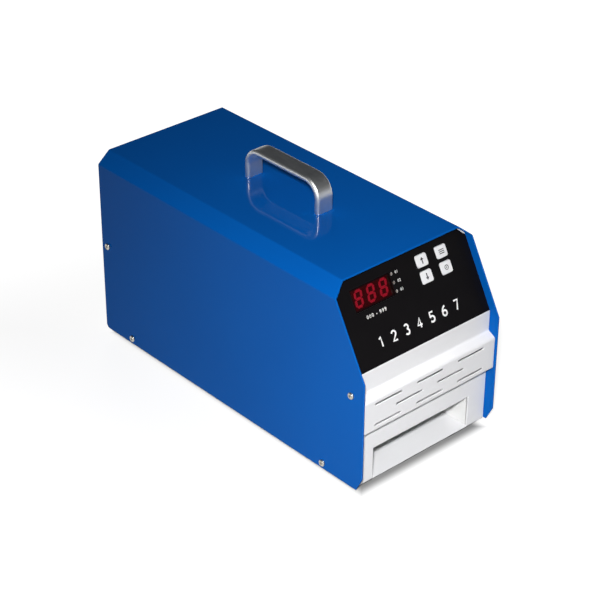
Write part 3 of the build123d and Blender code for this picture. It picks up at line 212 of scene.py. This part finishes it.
def paint(name, look):
    # sprayed coat on sheet metal: soft clouding, orange peel, and a painted highlight along the edges
    kind = kinds["paint"]
    finish = Finish(name, look["constants"])
    clouds = finish.noise(look["clouds"], 3)
    peel = finish.noise(look["peel"], 1)
    rounded, edge = finish.edges(look["edgeRadius"])
    coat = finish.blend(clouds, look["deep"], look["light"])
    # the lighter edge colour along the outer edges is a painted edge highlight
    edgeHighlight = finish.mask(edge, kind["edgeFrom"], kind["edgeTo"])
    finish.feed("Base Color", finish.blend(edgeHighlight * look["edgeHighlightShare"], coat, look["edge"]))
    finish.feed("Roughness", look["roughness"] + kind["cloudRough"] * clouds + kind["peelRough"] * peel)
    if "gloss" in look:
        # the top is wiped clean and shines most, the sides keep a thin film of dust
        gloss = look["gloss"]
        height = finish.parts(finish.place(), "Z")[0]
        wiped = finish.mask(height, gloss["from"], gloss["to"])
        finish.feed("Coat Weight", gloss["side"] + (gloss["top"] - gloss["side"]) * wiped)
    finish.bump(peel, look["peelStrength"], kind["relief"], rounded)
    return finish.material


def plastic(name, look):
    kind = kinds["plastic"]
    finish = Finish(name, look.get("constants", {}))
    grain = finish.noise(look["grain"])
    clouds = finish.noise(kind["clouds"])
    finish.feed("Base Color", finish.blend(clouds, look["deep"], look["light"]))
    finish.feed("Roughness", look["roughness"] + kind["grainRough"] * grain)
    finish.bump(grain, look["bump"], kind["relief"])
    return finish.material


def metal(name, look):
    # drawn or brushed metal: fine lines along one direction and a slow change of tone
    finish = Finish(name, {"Metallic": 1.0, **look.get("constants", {})})
    lines = finish.noise(look["lines"], 3, look["stretch"])
    clouds = finish.noise(look["clouds"], 3)
    finish.feed("Base Color", finish.blend(clouds, look["deep"], look["light"]))
    finish.feed("Roughness", look["roughness"] + look["spread"] * lines)
    finish.bump(lines, look["bump"], kinds["metal"]["relief"])
    return finish.material


def clear(name, look):
    kind = kinds["glass"]
    finish = Finish(name, look["constants"])
    smears = finish.noise(kind["smears"], 3)
    finish.feed("Base Color", finish.blend(smears, look["deep"], look["light"]))
    finish.feed("Roughness", look["roughness"] + kind["smearRough"] * smears)
    return finish.material


def smokedWindow(name, look):
    # clear in front of the digits, printed black from behind towards its edges
    finish = Finish(name, look["constants"])
    x, y, z = finish.parts(finish.place(), "XYZ")
    foot, tilt = panel["foot"], panel["tilt"]
    upSlope = (y - foot.y) * sin(tilt) + (z - foot.z) * cos(tilt)
    across = (x - look["x"]).absolute() - look["halfWidth"]
    along = (upSlope - look["up"]).absolute() - look["halfHeight"]
    border = finish.mask(across.larger(along), 0.0, look["fade"])
    finish.feed("Base Color", finish.blend(border, look["smoke"], look["black"]))
    finish.feed("Alpha", look["clearness"] + (1 - look["clearness"]) * border)
    smears = finish.noise(kinds["glass"]["smears"], 3)
    finish.feed("Roughness", look["roughness"] + look["smearRough"] * smears)
    return finish.material


def glow(name, look):
    kind = kinds["glow"]
    finish = Finish(name, {"Emission Strength": look["strength"], "Roughness": kind["roughness"]})
    depth = finish.noise(kind["grain"], 1)
    for socket in ("Base Color", "Emission Color"):
        finish.feed(socket, finish.blend(depth, look["deep"], look["light"]))
    return finish.material


def circuitBoard(name, look):
    # green lacquer over copper tracks, with round solder pads
    finish = Finish(name, look["constants"])
    across = finish.stripes(look["tracks"], "X")
    wander = finish.noise(look["wander"], 1)
    track = finish.mask(across * wander, look["trackFrom"], look["trackTo"])
    spots = {"Vector": finish.place(), "Scale": look["pads"]}
    solder = finish.node("ShaderNodeTexVoronoi", None, spots, "Distance") < look["padSize"]
    lacquer = finish.blend(track, look["deep"], look["light"])
    finish.feed("Base Color", finish.blend(solder, lacquer, look["solder"]))
    finish.feed("Metallic", solder * look["solderMetal"])
    finish.feed("Roughness", look["roughness"] - look["trackShine"] * track)
    finish.bump(track + solder, look["bump"], look["relief"])
    return finish.material


def layered(name, look):
    # thin layers that show as lines, such as laminations, tape turns or a ribbon's wires
    kind = kinds["layers"]
    finish = Finish(name, look.get("constants", {}))
    layers = finish.stripes(look["layers"], look["direction"])
    clouds = finish.noise(kind["clouds"])
    body = finish.blend(clouds, look["deep"], look["light"])
    finish.feed("Base Color", finish.blend(layers * look["share"], body, look["line"]))
    finish.feed("Roughness", look["roughness"] + kind["cloudRough"] * clouds)
    finish.bump(layers, look["bump"], kind["relief"])
    return finish.material


# sheet metal and the panel's film

# each paint's edge colour is a painted highlight along its outer edges
bluePaint = paint("bluePaint", {
    "constants": {"Specular IOR Level": 0.0, "Coat Roughness": 0.04},
    "gloss": {"side": 0.12, "top": 0.7, "from": 0.1695, "to": 0.176},
    "deep": (0.0010, 0.0835, 0.362), "light": (0.0016, 0.100, 0.415), "edge": (0.01, 0.20, 0.66),
    "edgeHighlightShare": 0.8, "edgeRadius": 0.0007, "clouds": 7, "peel": 420, "peelStrength": 0.05,
    "roughness": 0.30,
})
whitePaint = paint("whitePaint", {
    "constants": {"Specular IOR Level": 0.4},
    "deep": (0.67, 0.67, 0.685), "light": (0.72, 0.72, 0.735), "edge": (0.82, 0.82, 0.82),
    "edgeHighlightShare": 0.7, "edgeRadius": 0.0006, "clouds": 12, "peel": 900, "peelStrength": 0.05,
    "roughness": 0.38,
})
chamberWhite = paint("chamberWhite", {
    "constants": {"Specular IOR Level": 0.3},
    "deep": (0.68, 0.68, 0.675), "light": (0.73, 0.73, 0.725), "edge": (0.82, 0.82, 0.82),
    "edgeHighlightShare": 0.5, "edgeRadius": 0.0006, "clouds": 12, "peel": 900, "peelStrength": 0.04,
    "roughness": 0.34,
})
blackFilm = plastic("blackFilm", {
    "constants": {"Specular IOR Level": 0.1},
    "deep": (0.0035, 0.003, 0.0035), "light": (0.0055, 0.005, 0.0055),
    "grain": 2600, "roughness": 0.3, "bump": 0.05,
})

# inks, plastics, rubber and ceramic

whiteInk = plastic("whiteInk", {
    "deep": (0.72, 0.72, 0.72), "light": (0.8, 0.8, 0.8),
    "grain": 3000, "roughness": 0.5, "bump": 0.03,
})
darkInk = plastic("darkInk", {
    "deep": (0.02, 0.02, 0.025), "light": (0.035, 0.035, 0.04),
    "grain": 3000, "roughness": 0.5, "bump": 0.03,
})
keyWhite = plastic("keyWhite", {
    "deep": (0.70, 0.70, 0.715), "light": (0.75, 0.75, 0.765),
    "grain": 2200, "roughness": 0.36, "bump": 0.06,
})
blackPlastic = plastic("blackPlastic", {
    "deep": (0.012, 0.012, 0.012), "light": (0.02, 0.02, 0.021),
    "grain": 1800, "roughness": 0.42, "bump": 0.2,
})
rockerPlastic = plastic("rockerPlastic", {
    "deep": (0.010, 0.010, 0.010), "light": (0.016, 0.016, 0.016),
    "grain": 2500, "roughness": 0.22, "bump": 0.04,
})
footRubber = plastic("footRubber", {
    "deep": (0.014, 0.014, 0.014), "light": (0.03, 0.03, 0.03),
    "grain": 1400, "roughness": 0.7, "bump": 0.4,
})
gasketRubber = plastic("gasketRubber", {
    "deep": (0.03, 0.03, 0.03), "light": (0.05, 0.05, 0.05),
    "grain": 1600, "roughness": 0.75, "bump": 0.5,
})
relayBlue = plastic("relayBlue", {
    "deep": (0.01, 0.07, 0.32), "light": (0.015, 0.09, 0.38),
    "grain": 2500, "roughness": 0.3, "bump": 0.04,
})
sleeveBlack = plastic("sleeveBlack", {
    "deep": (0.010, 0.012, 0.03), "light": (0.02, 0.022, 0.05),
    "grain": 2500, "roughness": 0.25, "bump": 0.05,
})
terminalGreen = plastic("terminalGreen", {
    "deep": (0.01, 0.20, 0.06), "light": (0.02, 0.26, 0.08),
    "grain": 2000, "roughness": 0.42, "bump": 0.08,
})
glazedCeramic = plastic("glazedCeramic", {
    "deep": (0.78, 0.75, 0.68), "light": (0.85, 0.83, 0.77),
    "grain": 1200, "roughness": 0.2, "bump": 0.05,
})
plugCream = plastic("plugCream", {
    "deep": (0.7, 0.67, 0.56), "light": (0.78, 0.76, 0.67),
    "grain": 2200, "roughness": 0.4, "bump": 0.06,
})
leadBrown = plastic("leadBrown", {
    "deep": (0.10, 0.03, 0.012), "light": (0.14, 0.05, 0.02),
    "grain": 2500, "roughness": 0.38, "bump": 0.05,
})

# bare metals

handleAlloy = metal("handleAlloy", {
    "deep": (0.82, 0.82, 0.79), "light": (0.92, 0.92, 0.90), "clouds": 22, "lines": 900,
    "stretch": (1, 0.05, 1), "roughness": 0.36, "spread": 0.16, "bump": 0.35,
})
screwSteel = metal("screwSteel", {
    "deep": (0.46, 0.43, 0.36), "light": (0.62, 0.60, 0.55), "clouds": 400, "lines": 1800,
    "stretch": (1, 1, 1), "roughness": 0.25, "spread": 0.2, "bump": 0.15,
})
zincSteel = metal("zincSteel", {
    "deep": (0.48, 0.50, 0.52), "light": (0.66, 0.67, 0.68), "clouds": 90, "lines": 1200,
    "stretch": (0.08, 1, 1), "roughness": 0.32, "spread": 0.15, "bump": 0.15,
})
brightWire = metal("brightWire", {
    "deep": (0.66, 0.66, 0.67), "light": (0.78, 0.78, 0.78), "clouds": 120, "lines": 900,
    "stretch": (1, 1, 1), "roughness": 0.14, "spread": 0.1, "bump": 0.05,
})
mirrorAlloy = metal("mirrorAlloy", {
    "deep": (0.82, 0.83, 0.84), "light": (0.9, 0.9, 0.91), "clouds": 40, "lines": 700,
    "stretch": (0.04, 1, 1), "roughness": 0.08, "spread": 0.08, "bump": 0.05,
})
capAlloy = metal("capAlloy", {
    "deep": (0.62, 0.62, 0.62), "light": (0.74, 0.74, 0.74), "clouds": 200, "lines": 1500,
    "stretch": (1, 0.1, 0.1), "roughness": 0.28, "spread": 0.14, "bump": 0.1,
})
finAlloy = metal("finAlloy", {
    "constants": {"Metallic": 0.6},
    "deep": (0.012, 0.012, 0.013), "light": (0.02, 0.02, 0.02), "clouds": 60, "lines": 1500,
    "stretch": (1, 1, 0.08), "roughness": 0.4, "spread": 0.15, "bump": 0.1,
})
brassStrip = metal("brassStrip", {
    "deep": (0.58, 0.40, 0.14), "light": (0.74, 0.55, 0.22), "clouds": 150, "lines": 1600,
    "stretch": (1, 0.1, 1), "roughness": 0.24, "spread": 0.14, "bump": 0.08,
})

# glass, lamps and digits

plateGlass = clear("plateGlass", {
    "constants": {"Alpha": 0.3, "Specular IOR Level": 0.5},
    "deep": (0.62, 0.74, 0.71), "light": (0.75, 0.84, 0.82), "roughness": 0.03,
})
tubeGlass = clear("tubeGlass", {
    "constants": {"Alpha": 0.35},
    "deep": (0.8, 0.8, 0.86), "light": (0.9, 0.9, 0.93), "roughness": 0.04,
})
fuseGlass = clear("fuseGlass", {
    "constants": {"Alpha": 0.5},
    "deep": (0.75, 0.78, 0.78), "light": (0.85, 0.87, 0.87), "roughness": 0.05,
})
lampLens = clear("lampLens", {
    "constants": {"Transmission Weight": 0.2},
    "deep": (0.20, 0.17, 0.15), "light": (0.30, 0.26, 0.22), "roughness": 0.2,
})
redWindow = smokedWindow("redWindow", {
    "constants": {"Specular IOR Level": 0.12},
    "smoke": (0.010, 0.002, 0.0025), "black": (0.0045, 0.004, 0.0045), "roughness": 0.22, "smearRough": 0.04,
    "x": -0.0334, "up": 0.0545, "halfWidth": 0.0196, "halfHeight": 0.0072, "fade": 0.0024, "clearness": 0.5,
})
# the digits' body glows dark red though it is no lamp: a painted glow of light spilled from the lit segments
digitBodyPaintedGlow = glow("digitBodyPaintedGlow", {
    "deep": (0.062, 0.0008, 0.0015), "light": (0.078, 0.0011, 0.002), "strength": 1.0,
})
litRed = glow("litRed", {
    "deep": (0.78, 0.016, 0.045), "light": (0.92, 0.022, 0.060), "strength": 0.88,
})

# boards, laminations, windings and ribbon

greenBoard = circuitBoard("greenBoard", {
    "constants": {"IOR": 1.5},
    "deep": (0.008, 0.09, 0.03), "light": (0.016, 0.17, 0.05), "solder": (0.6, 0.6, 0.6), "solderMetal": 0.8,
    "tracks": 140, "wander": 80, "trackFrom": 0.28, "trackTo": 0.34, "trackShine": 0.1, "pads": 210,
    "padSize": 0.12, "roughness": 0.32, "bump": 0.25, "relief": 0.0002,
})
coreSteel = layered("coreSteel", {
    "constants": {"Metallic": 0.5},
    "deep": (0.10, 0.10, 0.11), "light": (0.16, 0.16, 0.17), "line": (0.03, 0.03, 0.03),
    "layers": 300, "direction": "Y", "share": 0.8, "roughness": 0.42, "bump": 0.4,
})
coilTape = layered("coilTape", {
    "deep": (0.55, 0.38, 0.05), "light": (0.65, 0.48, 0.08), "line": (0.42, 0.28, 0.03),
    "layers": 160, "direction": "Z", "share": 0.6, "roughness": 0.35, "bump": 0.3,
})
coilWinding = layered("coilWinding", {
    "deep": (0.30, 0.05, 0.02), "light": (0.40, 0.08, 0.03), "line": (0.12, 0.02, 0.01),
    "layers": 420, "direction": "Z", "share": 0.9, "roughness": 0.3, "bump": 0.6,
})
ribbonGrey = layered("ribbonGrey", {
    "deep": (0.36, 0.37, 0.39), "light": (0.44, 0.45, 0.47), "line": (0.2, 0.2, 0.21),
    "layers": 250, "direction": "X", "share": 0.8, "roughness": 0.45, "bump": 0.8,
})
print("materials made:", len(bpy.data.materials))


# finishes on the pieces that come from the frame

nodeFinishes = {
    "cover": bluePaint, "chassis": whitePaint, "front_panel": whitePaint, "chamber_rail_left": chamberWhite,
    "chamber_rail_right": chamberWhite, "chamber_back": chamberWhite, "panel_overlay": blackFilm,
    "display_window": redWindow, "key_up": keyWhite, "key_down": keyWhite, "key_mode": keyWhite,
    "key_confirm": keyWhite, "key_switches": blackPlastic, "led_digits": digitBodyPaintedGlow, "digit_segments": litRed,
    "indicator_lamps": lampLens, "control_board": greenBoard, "power_board": greenBoard,
    "board_standoffs": zincSteel, "board_screws": screwSteel, "side_screws": screwSteel,
    "handle_screws": screwSteel, "foot_screws": screwSteel, "frame_screws": screwSteel,
    "holder_screws": screwSteel, "rear_screws": screwSteel, "clinch_nuts": zincSteel, "handle": handleAlloy,
    "feet": footRubber, "glass_plate": plateGlass, "glass_gasket": gasketRubber, "lamp_housing": zincSteel,
    "lamp_posts": zincSteel, "reflector": mirrorAlloy, "flash_tubes": tubeGlass, "tube_caps": capAlloy,
    "tube_holders": glazedCeramic, "capacitors": sleeveBlack, "relay": relayBlue, "trigger_coil": coilWinding,
    "heatsink": finAlloy, "power_transistor": blackPlastic, "terminal_block": terminalGreen,
    "fuse": fuseGlass, "fuse_clips": brassStrip, "transformer_core": coreSteel, "transformer_coil": coilTape,
    "transformer_strap": zincSteel, "fan_frame": blackPlastic, "fan_rotor": blackPlastic,
    "fan_guard": brightWire, "power_inlet": blackPlastic, "inlet_pins": brassStrip,
    "switch_housing": blackPlastic, "switch_rocker": rockerPlastic, "switch_tabs": brassStrip,
    "ribbon_cable": ribbonGrey, "ribbon_plugs": plugCream, "mains_leads": leadBrown,
}
for name, material in nodeFinishes.items():
    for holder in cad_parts[name].material_slots:
        holder.material = material
print("finishes set on", len(nodeFinishes), "nodes")


# flat shapes of ink, a hair thick, drawn in millimetres

ink = {"thickness": 0.00004, "capHeight": 0.73}  # a capital's height as a share of the letters' size


def addLine(curve, points, closed=False):
    spline = curve.splines.new("POLY")
    spline.points.add(len(points) - 1)
    for point, (x, y) in zip(spline.points, points):
        point.co = (x / 1000, y / 1000, 0, 1)
    spline.use_cyclic_u = closed


def inkPiece(name, outlines, placement, material, body):
    # each outline is a ring; one inside another is a hole
    curve = bpy.data.curves.new(name, "CURVE")
    curve.dimensions = "2D"
    curve.fill_mode = "BOTH"
    curve.extrude = ink["thickness"] / 2
    for outline in outlines:
        addLine(curve, outline, True)
    return joinMeshes(name, [curveMesh(name, curve)], placement, material, body)


def textMesh(words, x, y, look):
    curve = bpy.data.curves.new("smallPrint", "FONT")
    curve.body = words
    curve.align_x, curve.align_y = "CENTER", "CENTER"
    curve.size = look["height"] / 1000 / ink["capHeight"]
    curve.offset = look["weight"] / 1000
    curve.space_character = look["spacing"]
    curve.extrude = ink["thickness"] / 2
    curve.resolution_u = 6
    mesh = curveMesh("smallPrint", curve)
    mesh.transform(Matrix.Translation((x / 1000, y / 1000, 0)))
    return mesh


def strokeMesh(name, strokes, width):
    # flat lines of one width: round tubes pressed flat
    curve = bpy.data.curves.new(name, "CURVE")
    curve.dimensions = "3D"
    curve.bevel_depth = width / 2000
    curve.bevel_resolution = 3
    curve.use_fill_caps = True
    for stroke in strokes:
        addLine(curve, stroke)
    mesh = curveMesh(name, curve)
    mesh.transform(Matrix.Diagonal((1, 1, ink["thickness"] * 1000 / width, 1)))
    return mesh


def curveMesh(name, curve):
    holder = bpy.data.objects.new(name, curve)
    bpy.context.collection.objects.link(holder)
    bpy.context.view_layer.update()
    graph = bpy.context.evaluated_depsgraph_get()
    mesh = bpy.data.meshes.new_from_object(holder.evaluated_get(graph))
    bpy.data.objects.remove(holder)
    return mesh


def arc(x, y, radius, start, end, count=16):
    turns = [radians(start + (end - start) * i / count) for i in range(count + 1)]
    return [(x + radius * cos(turn), y + radius * sin(turn)) for turn in turns]


def joinMeshes(name, meshes, placement, material, body):
    points, faces = [], []
    for mesh in meshes:
        start = len(points)
        points += [vertex.co.copy() for vertex in mesh.vertices]
        faces += [[start + corner for corner in face.vertices] for face in mesh.polygons]
    whole = bpy.data.meshes.new(name)
    whole.from_pydata(points, [], faces)
    whole.transform(placement)
    whole.materials.append(material)
    piece = bpy.data.objects.new(name, whole)
    bpy.context.collection.objects.link(piece)
    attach(piece, body)
    return piece


# print on the black film, on the slanted plate's own plane

panelPrint = {
    "filmTop": 0.00050,
    "numberRow": {"left": -41.0, "right": 42.0, "up": 17.0, "stroke": 1.5},
    "lampNumbers": {"x": -5.4, "down": 22.9, "pitch": 7.1, "height": 2.3, "weight": 0.03, "spacing": 1.1},
    "digitNote": {
        "text": "000 - 999", "x": -36.5, "down": 38.8, "height": 2.9, "weight": 0.05, "spacing": 1.35,
    },
}

# the middle lines of the numerals, each about 4 mm wide and 8 mm high
numerals = [
    [[(-1.4, 2.4), (0.4, 3.9), (0.4, -3.9)]],
    [arc(0, 1.8, 2.1, 165, -38) + [(-2.1, -3.9), (2.3, -3.9)]],
    [arc(-0.1, 2.05, 1.85, 150, -90), arc(-0.1, -1.85, 2.05, 90, -150)],
    [[(0.9, -3.9), (0.9, 3.9), (-2.3, -1.5), (2.5, -1.5)]],
    [[(1.9, 3.9), (-1.6, 3.9), (-1.7, 0.3)] + arc(-0.1, -1.6, 2.3, 132, -145)],
    [
        [(1.4, 3.9), (0.1, 3.2), (-1.2, 1.9), (-1.95, 0.2), (-2.15, -2.1)],
        arc(0, -1.75, 2.15, 200, -170, 28),
    ],
    [[(-2.1, 3.9), (2.1, 3.9), (-0.6, -3.9)]],
]


def panelPlane(lift):
    tilt = panel["tilt"]
    across, up = Vector((1, 0, 0)), Vector((0, sin(tilt), cos(tilt)))
    out = Vector((0, -cos(tilt), sin(tilt)))
    turn = Matrix((across, up, out)).transposed().to_4x4()
    return Matrix.Translation(panel["foot"] + out * lift) @ turn


row = panelPrint["numberRow"]
step = (row["right"] - row["left"]) / (len(numerals) - 1)
strokes = [
    [(x + row["left"] + i * step, y + row["up"]) for x, y in line]
    for i, lines in enumerate(numerals) for line in lines
]
inkMeshes = [strokeMesh("numberRow", strokes, row["stroke"])]
lampRow, note = panelPrint["lampNumbers"], panelPrint["digitNote"]
for i in range(3):
    level = panel["length"] - lampRow["down"] + (1 - i) * lampRow["pitch"]
    inkMeshes.append(textMesh(f"0{i + 1}", lampRow["x"], level, lampRow))
inkMeshes.append(textMesh(note["text"], note["x"], panel["length"] - note["down"], note))
joinMeshes("panelPrint", inkMeshes, panelPlane(panelPrint["filmTop"]), whiteInk, "machine")


# dark symbols on the keys

def ring(x, y, radius, count=28):
    turns = [2 * pi * i / count for i in range(count)]
    return [(x + radius * cos(turn), y + radius * sin(turn)) for turn in turns]


def bar(x, y, width, height):
    left, right, low, high = x - width / 2, x + width / 2, y - height / 2, y + height / 2
    return [(left, low), (right, low), (right, high), (left, high)]


def arrow(x, y, look, way):
    half, stem = look["length"] / 2, look["stem"]
    neck, wing = half - look["head"], look["head"] * 0.8
    shape = [
        (-stem, -half), (stem, -half), (stem, neck), (wing, neck), (0, half), (-wing, neck), (-stem, neck),
    ]
    return [(x + px, y + py * way) for px, py in shape]


keyInk = {
    "top": 0.00150,
    "leftColumn": 21.8, "rightColumn": 43.5, "upperRow": 16.2, "lowerRow": 29.6,  # rows from the panel's top
    "arrow": {"length": 5.6, "head": 2.3, "stem": 0.55},
    "bars": {"width": 5.6, "height": 0.7, "pitch": 1.5},
    "rings": (2.1, 1.5, 0.6),
}
leftX, rightX = keyInk["leftColumn"], keyInk["rightColumn"]
upperY, lowerY = panel["length"] - keyInk["upperRow"], panel["length"] - keyInk["lowerRow"]
bars = keyInk["bars"]
keySymbols = {
    "key_up": [arrow(leftX, upperY, keyInk["arrow"], 1)],
    "key_down": [arrow(leftX, lowerY, keyInk["arrow"], -1)],
    "key_mode": [bar(rightX, upperY + i * bars["pitch"], bars["width"], bars["height"]) for i in (1, 0, -1)],
    "key_confirm": [ring(rightX, lowerY, radius) for radius in keyInk["rings"]],
}
for key, outlines in keySymbols.items():
    inkPiece(key + "_symbol", outlines, panelPlane(keyInk["top"]), darkInk, key)


# marks on the rocker: a bar on the half that stands out, a ring on the half that is pressed in

rockerInk = {
    "pivot": Vector((0.040, 0.1591, 0.090)), "lift": 0.00002,
    "bar": {"up": 5.71, "out": 4.556, "tilt": radians(18), "shape": [bar(0, 0, 0.7, 2.8)]},
    "ring": {"up": -6.84, "out": 2.568, "tilt": 0, "shape": [ring(0, 0, 1.5), ring(0, 0, 0.95)]},
}


def rockerPlane(look):
    # across points to the left seen from behind, so that the mark reads from outside
    tilt = look["tilt"]
    across = Vector((-1, 0, 0))
    rise = Vector((0, sin(tilt), cos(tilt)))
    normal = Vector((0, cos(tilt), -sin(tilt)))
    turn = Matrix((across, rise, normal)).transposed().to_4x4()
    onFace = Vector((0, look["out"] / 1000, look["up"] / 1000))
    return Matrix.Translation(rockerInk["pivot"] + onFace + normal * rockerInk["lift"]) @ turn


for name, look in (("rockerBar", rockerInk["bar"]), ("rockerRing", rockerInk["ring"])):
    inkPiece(name, look["shape"], rockerPlane(look), whiteInk, "switch_rocker")
print("ink pieces made")


# floor, light and background

studio = {
    "floorSide": 12, "floorColour": (0.24, 0.24, 0.24), "floorRoughness": 0.9,
    # the glow of the floor: none under the machine, a painted contact shadow, and a little less near it than
    # far away
    "halfWidth": 0.075, "halfLength": 0.165, "underEdge": 0.012, "nearEdge": 0.02, "farEdge": 0.28,
    "paintedShadowUnder": (0, 0, 0), "floorNear": (0.80, 0.80, 0.80), "floorFar": (1, 1, 1),
    # the sky as gloss shows it: pale at the horizon and dark above
    "skyLow": (0.85, 0.86, 0.88), "skyHigh": (0.012, 0.015, 0.02), "skyEdge": 0.02, "skyTop": 0.12,
    "ambient": 0.08,
    "lamps": {
        "keyLamp": {
            "at": (-0.945, -1.00, 1.04), "to": (-0.05, -0.17, 0.05), "size": 0.11,
            "watts": 1.62, "spread": 36, "inGloss": True,
        },
        "rearLamp": {
            "at": (0.85, 1.25, 0.30), "to": (0, 0.05, 0.10), "size": 0.9,
            "watts": 12, "spread": 180, "inGloss": False,
        },
    },
}


def makeFloor():
    # the open floor reads white to the camera, in gloss and through glass, and keeps the shadow
    mesh = bpy.data.meshes.new("floor")
    half = studio["floorSide"] / 2
    corners = [(-half, -half, 0), (half, -half, 0), (half, half, 0), (-half, half, 0)]
    mesh.from_pydata(corners, [], [(0, 1, 2, 3)])
    floor = bpy.data.objects.new("floor", mesh)
    bpy.context.collection.objects.link(floor)
    finish = Finish("paleFloor", {
        "Base Color": (*studio["floorColour"], 1), "Roughness": studio["floorRoughness"],
        "Specular IOR Level": 0.0, "Emission Strength": 1.0,
    })
    x, y = finish.parts(finish.node("ShaderNodeTexCoord", out="Object"), "XY")
    away = (x.absolute() - studio["halfWidth"]).larger(y.absolute() - studio["halfLength"])
    # no glow under the machine's footprint: a painted contact shadow
    under = finish.mask(away, -studio["underEdge"], 0.0)
    spread = finish.mask(away, studio["nearEdge"], studio["farEdge"])
    beside = finish.blend(under, studio["paintedShadowUnder"], studio["floorNear"])
    shine = finish.blend(spread, beside, studio["floorFar"])
    finish.feed("Emission Color", finish.blend(finish.seen(), (0, 0, 0), shine))
    mesh.materials.append(finish.material)


def makeSky():
    world = bpy.data.worlds.new("studioSky")
    bpy.context.scene.world = world
    world.use_nodes = True
    tree = world.node_tree
    sky = Nodes(tree)
    height = sky.parts(sky.node("ShaderNodeTexCoord", out="Generated"), "Z")[0]
    shade = sky.mask(height, studio["skyEdge"], studio["skyTop"])
    mirrored = sky.blend(shade, studio["skyLow"], studio["skyHigh"])
    gloss = sky.node("ShaderNodeLightPath", out="Is Glossy Ray")
    background = tree.nodes["Background"]
    plug(tree, background.inputs["Color"], sky.blend(gloss, (1, 1, 1), mirrored))
    plug(tree, background.inputs["Strength"], studio["ambient"] + (1 - studio["ambient"]) * sky.seen())


def makeLamp(name, look):
    data = bpy.data.lights.new(name, "AREA")
    data.shape = "DISK"
    data.size = look["size"]
    data.energy = look["watts"]
    data.spread = radians(look["spread"])
    lamp = bpy.data.objects.new(name, data)
    lamp.location = look["at"]
    lamp.visible_glossy = look["inGloss"]
    lamp.rotation_euler = (Vector(look["to"]) - Vector(look["at"])).to_track_quat("-Z", "Y").to_euler()
    bpy.context.collection.objects.link(lamp)


makeFloor()
makeSky()
for name, look in studio["lamps"].items():
    makeLamp(name, look)
bpy.context.scene.view_settings.view_transform = "Standard"
print("studio ready")
